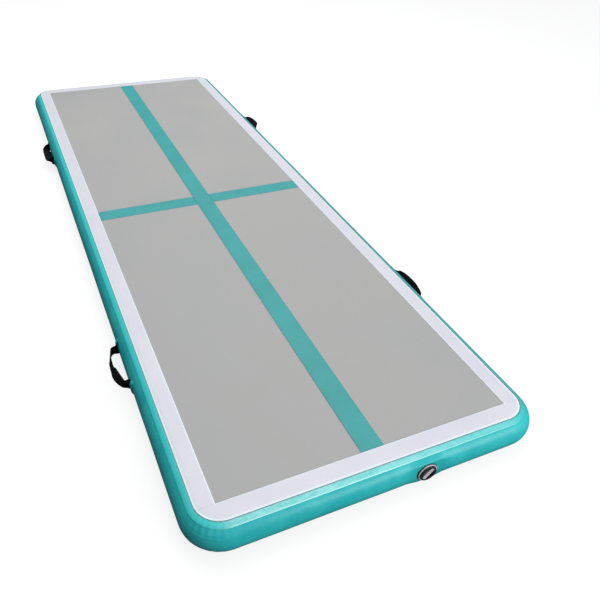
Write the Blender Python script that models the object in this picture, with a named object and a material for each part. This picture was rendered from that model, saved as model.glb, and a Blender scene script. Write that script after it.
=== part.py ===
"""Inflatable air track mat, 3.0 m x 1.0 m x 0.1 m, built as separate pieces.

Run with: blender --background --python part.py

Frame: metres, +Z up, origin on the floor at the middle of the mat. +Y runs along the mat, and the
valve is in the end wall at -Y. The two skins are flat plates tied together by drop-stitch yarns. Round
them runs one side wall that bulges into a half circle. Places on the wall are given by two distances:
"out" is how far a point lies outside the edge of the flat part, square to that edge, and z is its height.
"""

import math

import bmesh
import bpy
from mathutils import Matrix, Vector

# Overall size
MAT_LENGTH = 3.0
MAT_WIDTH = 1.0
MAT_HEIGHT = 0.1

# Sheet and fit sizes
GAP = 0.0003
SHEET = 0.0007
WALL_SHEET = 0.001
STACKED_LAYER = GAP + SHEET

# Mesh finish: edges sharper than this stay sharp, and points closer than this are one point
SHARP_ANGLE = math.radians(30)
MERGE_DISTANCE = 0.00001

# The flat part and the side wall's half circle
BULGE = MAT_HEIGHT / 2
MID_Z = MAT_HEIGHT / 2
FLAT_X = MAT_WIDTH / 2 - BULGE
FLAT_Y = MAT_LENGTH / 2 - BULGE
FLAT_CORNER = 0.056
CORNER_STEPS = 6
WALL_RADIUS = BULGE - STACKED_LAYER
WALL_STEPS = 20
FLANGE = 0.02
JOGGLE_START = 0.0016
JOGGLE_END = 0.0004
SKIN_INSET = 0.002
TAPE_STEPS = 4

# White border and teal lines on the top skin
PANEL_X = 0.413
PANEL_Y = 1.411
BORDER_OUT = 0.012
BORDER_STEPS = 3
CENTRE_LINE_WIDTH = 0.066
CROSS_LINE_WIDTH = 0.068
CROSS_LINE_Y = -0.02

# Seam tapes round the wall
UPPER_TAPE_OUT = 0.029
LOWER_TAPE_INNER = 0.003
LOWER_TAPE_OUT = 0.03

# Drop-stitch core
CORE_CLOTH = 0.0006
CORE_INSET = 0.024
YARN_BUNDLE = 0.008
YARN_COLUMNS = 5
YARN_ROWS = 15

# Handles: webbing sewn to a patch at both ends, with a folded grip between
HANDLE_SPACING = 1.558
LEFT_HANDLES_Y = -0.048
RIGHT_HANDLES_Y = -0.006
PATCH_LENGTH = 0.218
PATCH_WIDTH = 0.046
PATCH_STEPS = 6
WEBBING = 0.0015
STRAP_WIDTH = 0.04
TAB_END = 0.103
TAB_RISE = 0.088
PIVOT_OFF = 0.011
LOOP_HALF = 0.0795
LOOP_REACH = 0.0235
LOOP_THICKNESS = 0.003
ROOT_WIDTH = 0.018
SHOULDER_WIDTH = 0.034
GRIP_WIDTH = 0.022
SHOULDER_PLACE = 0.62
LOOP_STEPS = 18
LOOP_POWER = 2.4
LOOP_ROOT_TILT = math.radians(75)
TAB_STEPS = 8
STRAP_ACROSS = 6
COVER_INSET = 0.001

# Valve: turned pieces on an axis along Y, given by radius and by how far out they reach
VALVE_X = 0.117
VALVE_ROUND = 40
SEAT_OUT = 0.043
SEAT_FLAT_X = 0.0315
SEAT_FADE_X = 0.063
SEAT_FLAT_Z = 0.0348
SEAT_FADE_Z = 0.0396
SEAT_STATIONS = 16
BORE_RADIUS = 0.022
BORE_CUT_BACK = 0.03
BORE_CUT_FRONT = 0.06
BARREL_RADIUS = 0.0217
BARREL_BORE = 0.018
BARREL_INNER_END = 0.019
SEAT_RING_BORE = 0.015
SEAT_RING_END = 0.022
FLANGE_RADIUS = 0.029
FLANGE_FRONT = 0.048
FLANGE_BEVEL = 0.0015
MOUTH_RADIUS = 0.0236
MOUTH_DEPTH = 0.0022
SPIDER_FRONT = 0.025
SPIDER_ARMS = 3
ARM_WIDTH = 0.003
HUB_RADIUS = 0.006
STEM_RADIUS = 0.0018
STEM_CLEARANCE = 0.0003
PIN_PLATE_RADIUS = 0.012
PIN_PLATE = 0.0025
PIN_HEAD_RADIUS = 0.006
PIN_HEAD = 0.003
PIN_HEAD_FRONT = 0.0425
PIN_SLOT_WIDTH = 0.0016
PIN_SLOT_DEPTH = 0.0012
SEAL_RADIUS = 0.0165
SEAL_THICKNESS = 0.0034
SPRING_RADIUS = 0.0044
SPRING_WIRE = 0.0006
SPRING_TURNS = 5
SPRING_STEPS = 10
SPRING_SIDES = 6
LINER_RADIUS = 0.0305
GASKET_RADIUS = 0.028
GASKET = 0.001
NUT_RADIUS = 0.0285
NUT_NOTCH = 0.0015
NUT_LENGTH = 0.006
NUT_STEPS = 36
NUT_PERIOD = 6
CAP_SKIRT = 0.0176
CAP_RECESS = 0.0155
CAP_FLOOR_BACK = 0.0436
CAP_FLOOR = 0.0018
CAP_RIM_RADIUS = 0.0238
CAP_RIM_BACK = 0.0497
CAP_FRONT = 0.0513
CAP_BAR_WIDTH = 0.0085
CAP_BAR_TURN = math.radians(48)
CAP_SEAL_RADIUS = 0.0232
CAP_RING_RADIUS = 0.0232

# Colours (red, green, blue), roughness and metallic of each material
FINISHES = {
    "panel_grey": ((0.39, 0.40, 0.395), 0.55, 0.0),
    "border_white": ((0.77, 0.77, 0.86), 0.4, 0.0),
    "teal_pvc": ((0.045, 0.42, 0.46), 0.4, 0.0),
    "tape_teal": ((0.28, 0.68, 0.68), 0.35, 0.0),
    "base_grey": ((0.2, 0.21, 0.21), 0.6, 0.0),
    "yarn_white": ((0.7, 0.7, 0.68), 0.8, 0.0),
    "webbing_black": ((0.01, 0.01, 0.011), 0.75, 0.0),
    "valve_grey": ((0.36, 0.37, 0.38), 0.45, 0.0),
    "rubber_black": ((0.02, 0.02, 0.02), 0.7, 0.0),
    "spring_steel": ((0.6, 0.6, 0.6), 0.3, 1.0),
}


def clear_scene():
    for old in list(bpy.data.objects):
        bpy.data.objects.remove(old, do_unlink=True)


def make_material(object_name, finish):
    colour, roughness, metallic = FINISHES[finish]
    material = bpy.data.materials.new(object_name + "_" + finish)
    material.use_nodes = True
    shader = material.node_tree.nodes["Principled BSDF"]
    shader.inputs["Base Color"].default_value = (*colour, 1.0)
    shader.inputs["Roughness"].default_value = roughness
    shader.inputs["Metallic"].default_value = metallic
    material.diffuse_color = (*colour, 1.0)
    return material


def make_object(name, vertices, faces, finish, smooth=False, origin=(0.0, 0.0, 0.0)):
    """One object from points and faces in world space, with its origin where its joint is."""
    mesh = bpy.data.meshes.new(name)
    shift = Vector(origin)
    mesh.from_pydata([Vector(point) - shift for point in vertices], [], faces)
    bm = bmesh.new()
    bm.from_mesh(mesh)
    bmesh.ops.recalc_face_normals(bm, faces=bm.faces)
    bm.to_mesh(mesh)
    bm.free()
    if smooth:
        mesh.shade_smooth()
        mesh.set_sharp_from_angle(angle=SHARP_ANGLE)
    piece = bpy.data.objects.new(name, mesh)
    piece.location = shift
    bpy.context.scene.collection.objects.link(piece)
    mesh.materials.append(make_material(name, finish))
    return piece


def make_cutter(piece):
    piece.hide_render = True
    piece.display_type = "WIRE"
    return piece


def add_boolean(target, tool, operation):
    modifier = target.modifiers.new(operation.lower() + "_" + tool.name, "BOOLEAN")
    modifier.operation = operation
    modifier.solver = "EXACT"
    modifier.object = tool


def loop_faces(rows, count, is_ring=False, is_capped=False):
    """Quads between rows of closed loops, each of count points, with a face at each end if capped."""
    faces = []
    for row in range(rows if is_ring else rows - 1):
        first = row * count
        second = (row + 1) % rows * count
        for column in range(count):
            after = (column + 1) % count
            faces.append((first + column, second + column, second + after, first + after))
    if is_capped:
        last = (rows - 1) * count
        faces.append(tuple(range(count)))
        faces.append(tuple(range(last, last + count)))
    return faces


# Outlines and sweeps round the mat


def smoothstep(value):
    value = max(0.0, min(1.0, value))
    return value * value * (3 - 2 * value)


def corner_stations(quarter):
    """Points and outward directions round one corner of the flat part, counted from +X, +Y."""
    start = quarter * math.pi / 2
    sign_x = 1 if quarter in (0, 3) else -1
    sign_y = 1 if quarter in (0, 1) else -1
    centre_x = sign_x * (FLAT_X - FLAT_CORNER)
    centre_y = sign_y * (FLAT_Y - FLAT_CORNER)
    stations = []
    for step in range(CORNER_STEPS + 1):
        angle = start + step * math.pi / 2 / CORNER_STEPS
        direction = (math.cos(angle), math.sin(angle))
        point = (centre_x + FLAT_CORNER * direction[0], centre_y + FLAT_CORNER * direction[1])
        stations.append((point, direction))
    return stations


def ring_stations(with_valve=False):
    """Stations all the way round the flat part; the end at -Y has more of them near the valve."""
    stations = []
    for quarter in range(4):
        stations += corner_stations(quarter)
        if quarter == 2 and with_valve:
            for step in range(SEAT_STATIONS + 1):
                share = 2 * step / SEAT_STATIONS - 1
                stations.append(((VALVE_X + share * SEAT_FADE_X, -FLAT_Y), (0.0, -1.0)))
    return stations


def sweep_ring(name, profile, stations, finish, reshape=None):
    """Sweep a closed profile of (out, z) points round the stations."""
    vertices = []
    for point, direction in stations:
        for out, z in profile:
            x = point[0] + out * direction[0]
            y = point[1] + out * direction[1]
            vertices.append(reshape(x, y, z) if reshape else (x, y, z))
    faces = loop_faces(len(stations), len(profile), is_ring=True)
    return make_object(name, vertices, faces, finish, smooth=True)


def wall_point(radius, angle):
    """(out, z) on the wall's half circle: angle 0 is the widest place, 90 degrees the top."""
    return (radius * math.cos(angle), MID_Z + radius * math.sin(angle))


def arc_angle(out, radius, upper=True):
    angle = math.acos(out / radius)
    return angle if upper else -angle


def arc_points(radius, first, last, steps):
    return [wall_point(radius, first + (last - first) * step / steps) for step in range(steps + 1)]


def extrude_outline(name, outline, low, high, finish):
    """A flat plate with the given outline between two heights."""
    vertices = [(x, y, low) for x, y in outline] + [(x, y, high) for x, y in outline]
    return make_object(name, vertices, loop_faces(2, len(outline), is_capped=True), finish)


def flat_outline(inset):
    outline = []
    for point, direction in ring_stations():
        outline.append((point[0] - inset * direction[0], point[1] - inset * direction[1]))
    return outline


def rectangle(low_x, high_x, low_y, high_y):
    return [(low_x, low_y), (high_x, low_y), (high_x, high_y), (low_x, high_y)]


def box(name, low, high, finish):
    return extrude_outline(name, rectangle(low[0], high[0], low[1], high[1]), low[2], high[2], finish)


# Skins, wall, tapes and core


def make_skins():
    top_skin = MAT_HEIGHT - STACKED_LAYER
    extrude_outline("bottom_skin", flat_outline(0.0), 0.0, SHEET, "base_grey")
    extrude_outline("top_skin", flat_outline(SKIN_INSET), top_skin - SHEET, top_skin, "panel_grey")


def fade(distance, flat, end):
    """1 up to flat, falling smoothly to 0 at end."""
    return smoothstep((end - abs(distance)) / (end - flat))


def flatten_at_valve(x, y, z):
    """Move points of the end wall towards the flat seat that the valve is clamped on."""
    out = -y - FLAT_Y
    weight = fade(x - VALVE_X, SEAT_FLAT_X, SEAT_FADE_X) * fade(z - MID_Z, SEAT_FLAT_Z, SEAT_FADE_Z)
    if out <= 0 or weight == 0:
        return (x, y, z)
    is_inner = math.hypot(out, z - MID_Z) < WALL_RADIUS - WALL_SHEET / 2
    seat = SEAT_OUT - (WALL_SHEET if is_inner else 0.0)
    return (x, -(FLAT_Y + out + weight * (seat - out)), z)


def make_side_wall():
    inner_radius = WALL_RADIUS - WALL_SHEET
    top = MID_Z + WALL_RADIUS
    flange_top = top - STACKED_LAYER
    bottom = MID_Z - WALL_RADIUS
    outer = arc_points(WALL_RADIUS, math.pi / 2, -math.pi / 2, WALL_STEPS)
    inner = arc_points(inner_radius, -math.pi / 2, math.pi / 2, WALL_STEPS)
    profile = [(-FLANGE, flange_top), (-JOGGLE_START, flange_top), (-JOGGLE_END, top)]
    profile += outer
    profile += [(-FLANGE, bottom), (-FLANGE, bottom + WALL_SHEET)]
    profile += inner
    profile += [
        (-JOGGLE_END, top - WALL_SHEET),
        (-JOGGLE_START, flange_top - WALL_SHEET),
        (-FLANGE, flange_top - WALL_SHEET),
    ]
    wall = sweep_ring("side_wall", profile, ring_stations(with_valve=True), "teal_pvc", flatten_at_valve)
    profile = [(0.0, BORE_CUT_BACK), (BORE_RADIUS, BORE_CUT_BACK)]
    profile += [(BORE_RADIUS, BORE_CUT_FRONT), (0.0, BORE_CUT_FRONT)]
    bore = turned("valve_bore_cutter", profile, "teal_pvc")
    add_boolean(wall, make_cutter(bore), "DIFFERENCE")


def tape_profile(first, last):
    return arc_points(BULGE, first, last, TAPE_STEPS) + arc_points(BULGE - SHEET, last, first, TAPE_STEPS)


def make_seam_tapes():
    first = arc_angle(BORDER_OUT + GAP, BULGE)
    last = arc_angle(UPPER_TAPE_OUT, BULGE)
    sweep_ring("upper_seam_tape", tape_profile(first, last), ring_stations(), "tape_teal")
    first = arc_angle(LOWER_TAPE_OUT, BULGE, upper=False)
    last = arc_angle(LOWER_TAPE_INNER, BULGE, upper=False)
    sweep_ring("lower_seam_tape", tape_profile(first, last), ring_stations(), "teal_pvc")


def grid_lines(half, count):
    """Plate edges with both sides of every yarn bundle between them."""
    lines = [-half]
    pitch = 2 * half / count
    for index in range(count):
        middle = -half + (index + 0.5) * pitch
        lines += [middle - YARN_BUNDLE / 2, middle + YARN_BUNDLE / 2]
    lines.append(half)
    return lines


def make_core():
    """Two base cloths held apart by bundles of yarn, as one body with open sides."""
    bottom = MID_Z - WALL_RADIUS + WALL_SHEET + GAP
    top = MID_Z + WALL_RADIUS - STACKED_LAYER - WALL_SHEET - GAP
    xs = grid_lines(FLAT_X - CORE_INSET, YARN_COLUMNS)
    ys = grid_lines(FLAT_Y - CORE_INSET, YARN_ROWS)
    levels = [bottom, bottom + CORE_CLOTH, top - CORE_CLOTH, top]
    nx = len(xs)
    ny = len(ys)
    vertices = [(x, y, z) for z in levels for y in ys for x in xs]

    def at(column, row, level):
        return (level * ny + row) * nx + column

    faces = []
    for row in range(ny - 1):
        for column in range(nx - 1):
            is_bundle = row % 2 == 1 and column % 2 == 1
            corners = [(column, row), (column + 1, row), (column + 1, row + 1), (column, row + 1)]
            if is_bundle:
                for index, (c, r) in enumerate(corners):
                    c2, r2 = corners[(index + 1) % 4]
                    faces.append((at(c, r, 1), at(c2, r2, 1), at(c2, r2, 2), at(c, r, 2)))
            else:
                faces.append(tuple(at(c, r, 1) for c, r in corners))
                faces.append(tuple(at(c, r, 2) for c, r in corners))
    rim = [(c, 0) for c in range(nx)] + [(nx - 1, r) for r in range(1, ny)]
    rim += [(c, ny - 1) for c in range(nx - 2, -1, -1)] + [(0, r) for r in range(ny - 2, 0, -1)]
    for low, high in ((0, 1), (2, 3)):
        for index, (c, r) in enumerate(rim):
            c2, r2 = rim[(index + 1) % len(rim)]
            faces.append((at(c, r, low), at(c2, r2, low), at(c2, r2, high), at(c, r, high)))
    faces.append(tuple(at(c, r, 0) for c, r in rim))
    faces.append(tuple(at(c, r, 3) for c, r in rim))
    used = sorted({index for face in faces for index in face})
    renumber = {old: new for new, old in enumerate(used)}
    faces = [tuple(renumber[index] for index in face) for face in faces]
    make_object("drop_stitch_core", [vertices[index] for index in used], faces, "yarn_white")


# White border and lines


def border_mesh_frame(name):
    """The whole border: square inside, rounded outside, its outer edge bent down over the wall."""
    profile = [(0.0, MAT_HEIGHT)]
    for step in range(1, BORDER_STEPS + 1):
        out = BORDER_OUT * step / BORDER_STEPS
        profile.append((out, MID_Z + math.sqrt(BULGE ** 2 - out ** 2)))
    under = []
    for out, z in profile:
        reach = (BULGE - SHEET) / BULGE
        under.append((out * reach, MID_Z + (z - MID_Z) * reach))
    loop = profile + under[::-1]
    stations = ring_stations()
    vertices = []
    for point, direction in stations:
        inner_x = max(-PANEL_X, min(PANEL_X, point[0]))
        inner_y = max(-PANEL_Y, min(PANEL_Y, point[1]))
        vertices.append((inner_x, inner_y, MAT_HEIGHT))
        for out, z in loop:
            vertices.append((point[0] + out * direction[0], point[1] + out * direction[1], z))
        vertices.append((inner_x, inner_y, MAT_HEIGHT - SHEET))
    faces = loop_faces(len(stations), len(loop) + 2, is_ring=True)
    frame = make_object(name, vertices, faces, "border_white", smooth=True)
    bm = bmesh.new()
    bm.from_mesh(frame.data)
    bmesh.ops.remove_doubles(bm, verts=bm.verts, dist=MERGE_DISTANCE)
    bmesh.ops.recalc_face_normals(bm, faces=bm.faces)
    bm.to_mesh(frame.data)
    bm.free()
    return frame


def make_border():
    """The end strips run the full width, and the side strips butt on to them."""
    end_edge = PANEL_Y + GAP / 2
    side_edge = PANEL_Y - GAP / 2
    reach = MAT_LENGTH
    cuts = {
        "border_strip_near": ((-reach, -reach), (reach, -end_edge)),
        "border_strip_far": ((-reach, end_edge), (reach, reach)),
        "border_strip_left": ((-reach, -side_edge), (0.0, side_edge)),
        "border_strip_right": ((0.0, -side_edge), (reach, side_edge)),
    }
    for name, (low, high) in cuts.items():
        strip = border_mesh_frame(name)
        cutter = box(name + "_cutter", (*low, 0.0), (*high, 2 * MAT_HEIGHT), "border_white")
        add_boolean(strip, make_cutter(cutter), "INTERSECT")


def make_lines():
    low = MAT_HEIGHT - SHEET
    high = MAT_HEIGHT
    half = CENTRE_LINE_WIDTH / 2
    end = PANEL_Y - GAP
    box("centre_line", (-half, -end, low), (half, end, high), "teal_pvc")
    cross_low = CROSS_LINE_Y - CROSS_LINE_WIDTH / 2
    cross_high = CROSS_LINE_Y + CROSS_LINE_WIDTH / 2
    inner = half + GAP
    outer = PANEL_X - GAP
    box("cross_line_left", (-outer, cross_low, low), (-inner, cross_high, high), "teal_pvc")
    box("cross_line_right", (inner, cross_low, low), (outer, cross_high, high), "teal_pvc")


# Handles


def sweep_strap(name, stations, side, centre_y, finish, origin=(0.0, 0.0, 0.0)):
    """A strap that lies across Z. Each station is (along Y, out, tilt, half width, wrap, thickness).

    Tilt is the angle of the strap's inner face from the wall, and wrap is 1 where the strap follows the
    wall's half circle and 0 where it is flat.
    """
    vertices = []
    across = STRAP_ACROSS + 1
    for along, out, tilt, half_width, wrap, thickness in stations:
        for layer, order in ((0, 1), (1, -1)):
            lift = thickness * layer
            for index in range(across):
                up = order * half_width * (2 * index / STRAP_ACROSS - 1)
                radius = out + lift
                sag = wrap * (radius - math.sqrt(radius ** 2 - up ** 2))
                reach = out + lift * math.cos(tilt) - sag
                y = centre_y + along + lift * math.sin(tilt)
                vertices.append((side * (FLAT_X + reach), y, MID_Z + up))
    faces = loop_faces(len(stations), 2 * across, is_capped=True)
    return make_object(name, vertices, faces, finish, smooth=True, origin=origin)


def tab_stations(end):
    """The sewn end of the strap, from its cut end up to the grip, on the +Y or -Y side."""
    rest = BULGE + GAP
    lift_end = PIVOT_OFF + BULGE - WEBBING / 2
    stations = [(end * TAB_END, rest, 0.0, STRAP_WIDTH / 2, 1.0, WEBBING)]
    for step in range(TAB_STEPS + 1):
        share = step / TAB_STEPS
        rise = smoothstep(share)
        along = TAB_RISE + (LOOP_HALF + GAP - TAB_RISE) * share
        half_width = STRAP_WIDTH / 2 + (ROOT_WIDTH - STRAP_WIDTH) / 2 * rise
        stations.append((end * along, rest + (lift_end - rest) * rise, 0.0, half_width, 1.0 - rise, WEBBING))
    return stations


def loop_width(place):
    """Narrow where it is folded for the hand, wide at the shoulders, narrow again where it swings."""
    if place < SHOULDER_PLACE:
        return GRIP_WIDTH + (SHOULDER_WIDTH - GRIP_WIDTH) * smoothstep(place / SHOULDER_PLACE)
    share = (place - SHOULDER_PLACE) / (1.0 - SHOULDER_PLACE)
    return SHOULDER_WIDTH + (ROOT_WIDTH - SHOULDER_WIDTH) * smoothstep(share)


def loop_stations():
    """The free grip: a rounded bow that starts and ends on the hinge line."""
    stations = []
    base = BULGE + PIVOT_OFF
    half = LOOP_HALF - LOOP_THICKNESS / 2 - GAP
    power = 2 / LOOP_POWER
    for step in range(LOOP_STEPS + 1):
        turn = math.pi * step / LOOP_STEPS
        cosine = math.cos(turn)
        sine = max(0.0, math.sin(turn))
        tilt = -LOOP_ROOT_TILT * cosine
        along = -half * math.copysign(abs(cosine) ** power, cosine) - LOOP_THICKNESS / 2 * math.sin(tilt)
        out = base + LOOP_REACH * sine ** power - LOOP_THICKNESS / 2 * math.cos(tilt)
        stations.append((along, out, tilt, loop_width(abs(along) / half) / 2, 0.0, LOOP_THICKNESS))
    return stations


def curved_patch(name, side, low_y, high_y, radius):
    """A sheet that follows the wall's half circle, with its outer face at the given radius."""
    first = -math.asin(PATCH_WIDTH / 2 / BULGE)
    profile = arc_points(radius, first, -first, PATCH_STEPS)
    profile += arc_points(radius - SHEET, -first, first, PATCH_STEPS)
    vertices = []
    for y in (low_y, high_y):
        vertices += [(side * (FLAT_X + out), y, z) for out, z in profile]
    return make_object(name, vertices, loop_faces(2, len(profile), is_capped=True), "teal_pvc", smooth=True)


def make_handle(label, side, centre_y):
    """A strap between a patch on the wall and two covers, one over each of its sewn ends."""
    patch_half = PATCH_LENGTH / 2
    curved_patch("handle_patch_" + label, side, centre_y - patch_half, centre_y + patch_half, BULGE)
    cover_radius = BULGE + GAP + WEBBING + GAP + SHEET
    for word, end in (("far", 1), ("near", -1)):
        sweep_strap("strap_tab_" + word + "_" + label, tab_stations(end), side, centre_y, "webbing_black")
        reach = (centre_y + end * (TAB_RISE + COVER_INSET), centre_y + end * (patch_half - COVER_INSET))
        curved_patch("strap_cover_" + word + "_" + label, side, min(reach), max(reach), cover_radius)
    pivot = (side * (MAT_WIDTH / 2 + PIVOT_OFF), centre_y, MID_Z)
    sweep_strap("handle_grip_" + label, loop_stations(), side, centre_y, "webbing_black", pivot)


def make_handles():
    """Two handles a side. The pairs are equally far apart, and the left pair sits nearer the valve end."""
    for side_word, side, middle in (("left", -1, LEFT_HANDLES_Y), ("right", 1, RIGHT_HANDLES_Y)):
        for end_word, end in (("near", -1), ("far", 1)):
            make_handle(side_word + "_" + end_word, side, middle + end * HANDLE_SPACING / 2)


# Valve


def turned(name, profile, finish, steps=VALVE_ROUND, origin=(0.0, 0.0, 0.0)):
    """Turn a closed profile of (radius, out) points round the valve's axis."""
    vertices = []
    faces = []
    rings = []
    for radius, out in profile:
        y = -(FLAT_Y + out)
        if radius == 0:
            rings.append([len(vertices)] * steps)
            vertices.append((VALVE_X, y, MID_Z))
            continue
        rings.append(list(range(len(vertices), len(vertices) + steps)))
        for step in range(steps):
            angle = 2 * math.pi * step / steps
            vertices.append((VALVE_X + radius * math.cos(angle), y, MID_Z + radius * math.sin(angle)))
    for index, ring in enumerate(rings):
        other = rings[(index + 1) % len(rings)]
        if ring[0] == ring[1] and other[0] == other[1]:
            continue
        for step in range(steps):
            after = (step + 1) % steps
            corners = []
            for corner in (ring[step], ring[after], other[after], other[step]):
                if corner not in corners:
                    corners.append(corner)
            faces.append(tuple(corners))
    return make_object(name, vertices, faces, finish, smooth=True, origin=origin)


def washer(name, bore, radius, back, front, finish):
    return turned(name, [(bore, back), (radius, back), (radius, front), (bore, front)], finish)


def radial_bar(name, length, width, back, front, angle, finish, start=0.0):
    """A bar square to the valve's axis, from start to length along the given angle."""
    low = Vector((start, -(FLAT_Y + front), -width / 2))
    high = Vector((length, -(FLAT_Y + back), width / 2))
    bar = box(name, low, high, finish)
    turn = Matrix.Rotation(-angle, 4, "Y")
    bar.data.transform(Matrix.Translation((VALVE_X, 0.0, MID_Z)) @ turn)
    return bar


def make_valve_body():
    flange_back = SEAT_OUT + GAP
    profile = [
        (BARREL_RADIUS, flange_back),
        (FLANGE_RADIUS, flange_back),
        (FLANGE_RADIUS, FLANGE_FRONT - FLANGE_BEVEL),
        (FLANGE_RADIUS - FLANGE_BEVEL, FLANGE_FRONT),
        (MOUTH_RADIUS, FLANGE_FRONT),
        (MOUTH_RADIUS, FLANGE_FRONT - MOUTH_DEPTH),
        (BARREL_BORE, FLANGE_FRONT - MOUTH_DEPTH),
        (BARREL_BORE, SEAT_RING_END),
        (SEAT_RING_BORE, SEAT_RING_END),
        (SEAT_RING_BORE, BARREL_INNER_END),
        (BARREL_RADIUS, BARREL_INNER_END),
    ]
    body = turned("valve_body", profile, "valve_grey")
    stem_bore = STEM_RADIUS + STEM_CLEARANCE
    spider = washer("valve_spider_hub", stem_bore, HUB_RADIUS, SEAT_RING_END, SPIDER_FRONT, "valve_grey")
    for index in range(SPIDER_ARMS):
        angle = 2 * math.pi * index / SPIDER_ARMS + math.pi / 2
        reach = (BARREL_BORE + BARREL_RADIUS) / 2
        start = (stem_bore + HUB_RADIUS) / 2
        back = SEAT_RING_END + GAP
        front = SPIDER_FRONT - GAP
        arm = radial_bar(f"valve_arm_{index}", reach, ARM_WIDTH, back, front, angle, "valve_grey", start)
        add_boolean(body, make_cutter(arm), "UNION")
    add_boolean(body, make_cutter(spider), "UNION")


def make_valve_clamp():
    seat_back = SEAT_OUT - WALL_SHEET
    liner_front = seat_back - GAP
    liner_back = liner_front - SHEET
    washer("valve_reinforcing_patch", BORE_RADIUS, LINER_RADIUS, liner_back, liner_front, "teal_pvc")
    gasket_front = liner_back - GAP
    gasket_back = gasket_front - GASKET
    washer("valve_gasket", BORE_RADIUS, GASKET_RADIUS, gasket_back, gasket_front, "rubber_black")
    make_nut(gasket_back - GAP - NUT_LENGTH, gasket_back - GAP)


def make_nut(back, front):
    """A ring nut with notches for a valve wrench round its edge."""
    vertices = []
    for step in range(NUT_STEPS):
        angle = 2 * math.pi * step / NUT_STEPS
        notched = step % NUT_PERIOD < NUT_PERIOD / 2
        outer = NUT_RADIUS - NUT_NOTCH if notched else NUT_RADIUS
        for radius, out in ((BORE_RADIUS, back), (outer, back), (outer, front), (BORE_RADIUS, front)):
            x = VALVE_X + radius * math.cos(angle)
            vertices.append((x, -(FLAT_Y + out), MID_Z + radius * math.sin(angle)))
    faces = loop_faces(NUT_STEPS, len(vertices) // NUT_STEPS, is_ring=True)
    make_object("valve_nut", vertices, faces, "valve_grey")


def make_valve_plunger():
    axis_point = (VALVE_X, -(FLAT_Y + SPIDER_FRONT), MID_Z)
    seal_front = BARREL_INNER_END - GAP
    seal_back = seal_front - SEAL_THICKNESS
    stem_bore = STEM_RADIUS + STEM_CLEARANCE
    profile = [(stem_bore, seal_back), (SEAL_RADIUS, seal_back)]
    profile += [(SEAL_RADIUS, seal_front), (stem_bore, seal_front)]
    turned("valve_seal_disc", profile, "rubber_black", origin=axis_point)
    plate_front = seal_back - GAP
    plate_back = plate_front - PIN_PLATE
    head_back = PIN_HEAD_FRONT - PIN_HEAD
    profile = [
        (0.0, plate_back),
        (PIN_PLATE_RADIUS, plate_back),
        (PIN_PLATE_RADIUS, plate_front),
        (STEM_RADIUS, plate_front),
        (STEM_RADIUS, head_back),
        (PIN_HEAD_RADIUS, head_back),
        (PIN_HEAD_RADIUS, PIN_HEAD_FRONT),
        (0.0, PIN_HEAD_FRONT),
    ]
    pin = turned("valve_pin", profile, "valve_grey", steps=VALVE_ROUND // 2, origin=axis_point)
    reach = 2 * PIN_HEAD_RADIUS
    slot_back = PIN_HEAD_FRONT - PIN_SLOT_DEPTH
    slot_front = PIN_HEAD_FRONT + PIN_SLOT_DEPTH
    width = PIN_SLOT_WIDTH
    slot = radial_bar("pin_slot", reach, width, slot_back, slot_front, CAP_BAR_TURN, "valve_grey", -reach)
    add_boolean(pin, make_cutter(slot), "DIFFERENCE")


def make_spring():
    """A round-wire helix between the spider and the pin's head."""
    back = SPIDER_FRONT + GAP + SPRING_WIRE
    front = PIN_HEAD_FRONT - PIN_HEAD - GAP - SPRING_WIRE
    steps = SPRING_TURNS * SPRING_STEPS
    vertices = []
    for step in range(steps + 1):
        share = step / steps
        angle = 2 * math.pi * SPRING_TURNS * share
        radial = Vector((math.cos(angle), 0.0, math.sin(angle)))
        centre = Vector((VALVE_X, -(FLAT_Y + back + (front - back) * share), MID_Z)) + radial * SPRING_RADIUS
        for side in range(SPRING_SIDES):
            turn = 2 * math.pi * side / SPRING_SIDES
            offset = radial * math.cos(turn) + Vector((0.0, 1.0, 0.0)) * math.sin(turn)
            vertices.append(centre + offset * SPRING_WIRE)
    faces = loop_faces(steps + 1, SPRING_SIDES, is_capped=True)
    make_object("valve_spring", vertices, faces, "spring_steel", smooth=True)


def make_cap():
    axis_point = (VALVE_X, -(FLAT_Y + CAP_RIM_BACK), MID_Z)
    recess = CAP_FLOOR_BACK + CAP_FLOOR
    profile = [
        (0.0, CAP_FLOOR_BACK),
        (CAP_SKIRT, CAP_FLOOR_BACK),
        (CAP_SKIRT, CAP_RIM_BACK),
        (CAP_RIM_RADIUS, CAP_RIM_BACK),
        (CAP_RIM_RADIUS, CAP_FRONT),
        (CAP_RECESS, CAP_FRONT),
        (CAP_RECESS, recess),
        (0.0, recess),
    ]
    cap = turned("valve_cap", profile, "valve_grey", origin=axis_point)
    reach = (CAP_RECESS + CAP_SKIRT) / 2
    back = CAP_FLOOR_BACK + CAP_FLOOR / 2
    front = CAP_FRONT - GAP
    bar = radial_bar("cap_grip_bar", reach, CAP_BAR_WIDTH, back, front, CAP_BAR_TURN, "valve_grey", -reach)
    add_boolean(cap, make_cutter(bar), "UNION")
    seal_back = FLANGE_FRONT - MOUTH_DEPTH + GAP
    bore = CAP_SKIRT + GAP
    washer("cap_seal", bore, CAP_SEAL_RADIUS, seal_back, FLANGE_FRONT - GAP, "rubber_black")
    washer("cap_swivel_ring", bore, CAP_RING_RADIUS, FLANGE_FRONT + GAP, CAP_RIM_BACK - GAP, "valve_grey")


def main():
    clear_scene()
    make_skins()
    make_side_wall()
    make_seam_tapes()
    make_core()
    make_border()
    make_lines()
    make_handles()
    make_valve_body()
    make_valve_clamp()
    make_valve_plunger()
    make_spring()
    make_cap()


main()
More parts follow.
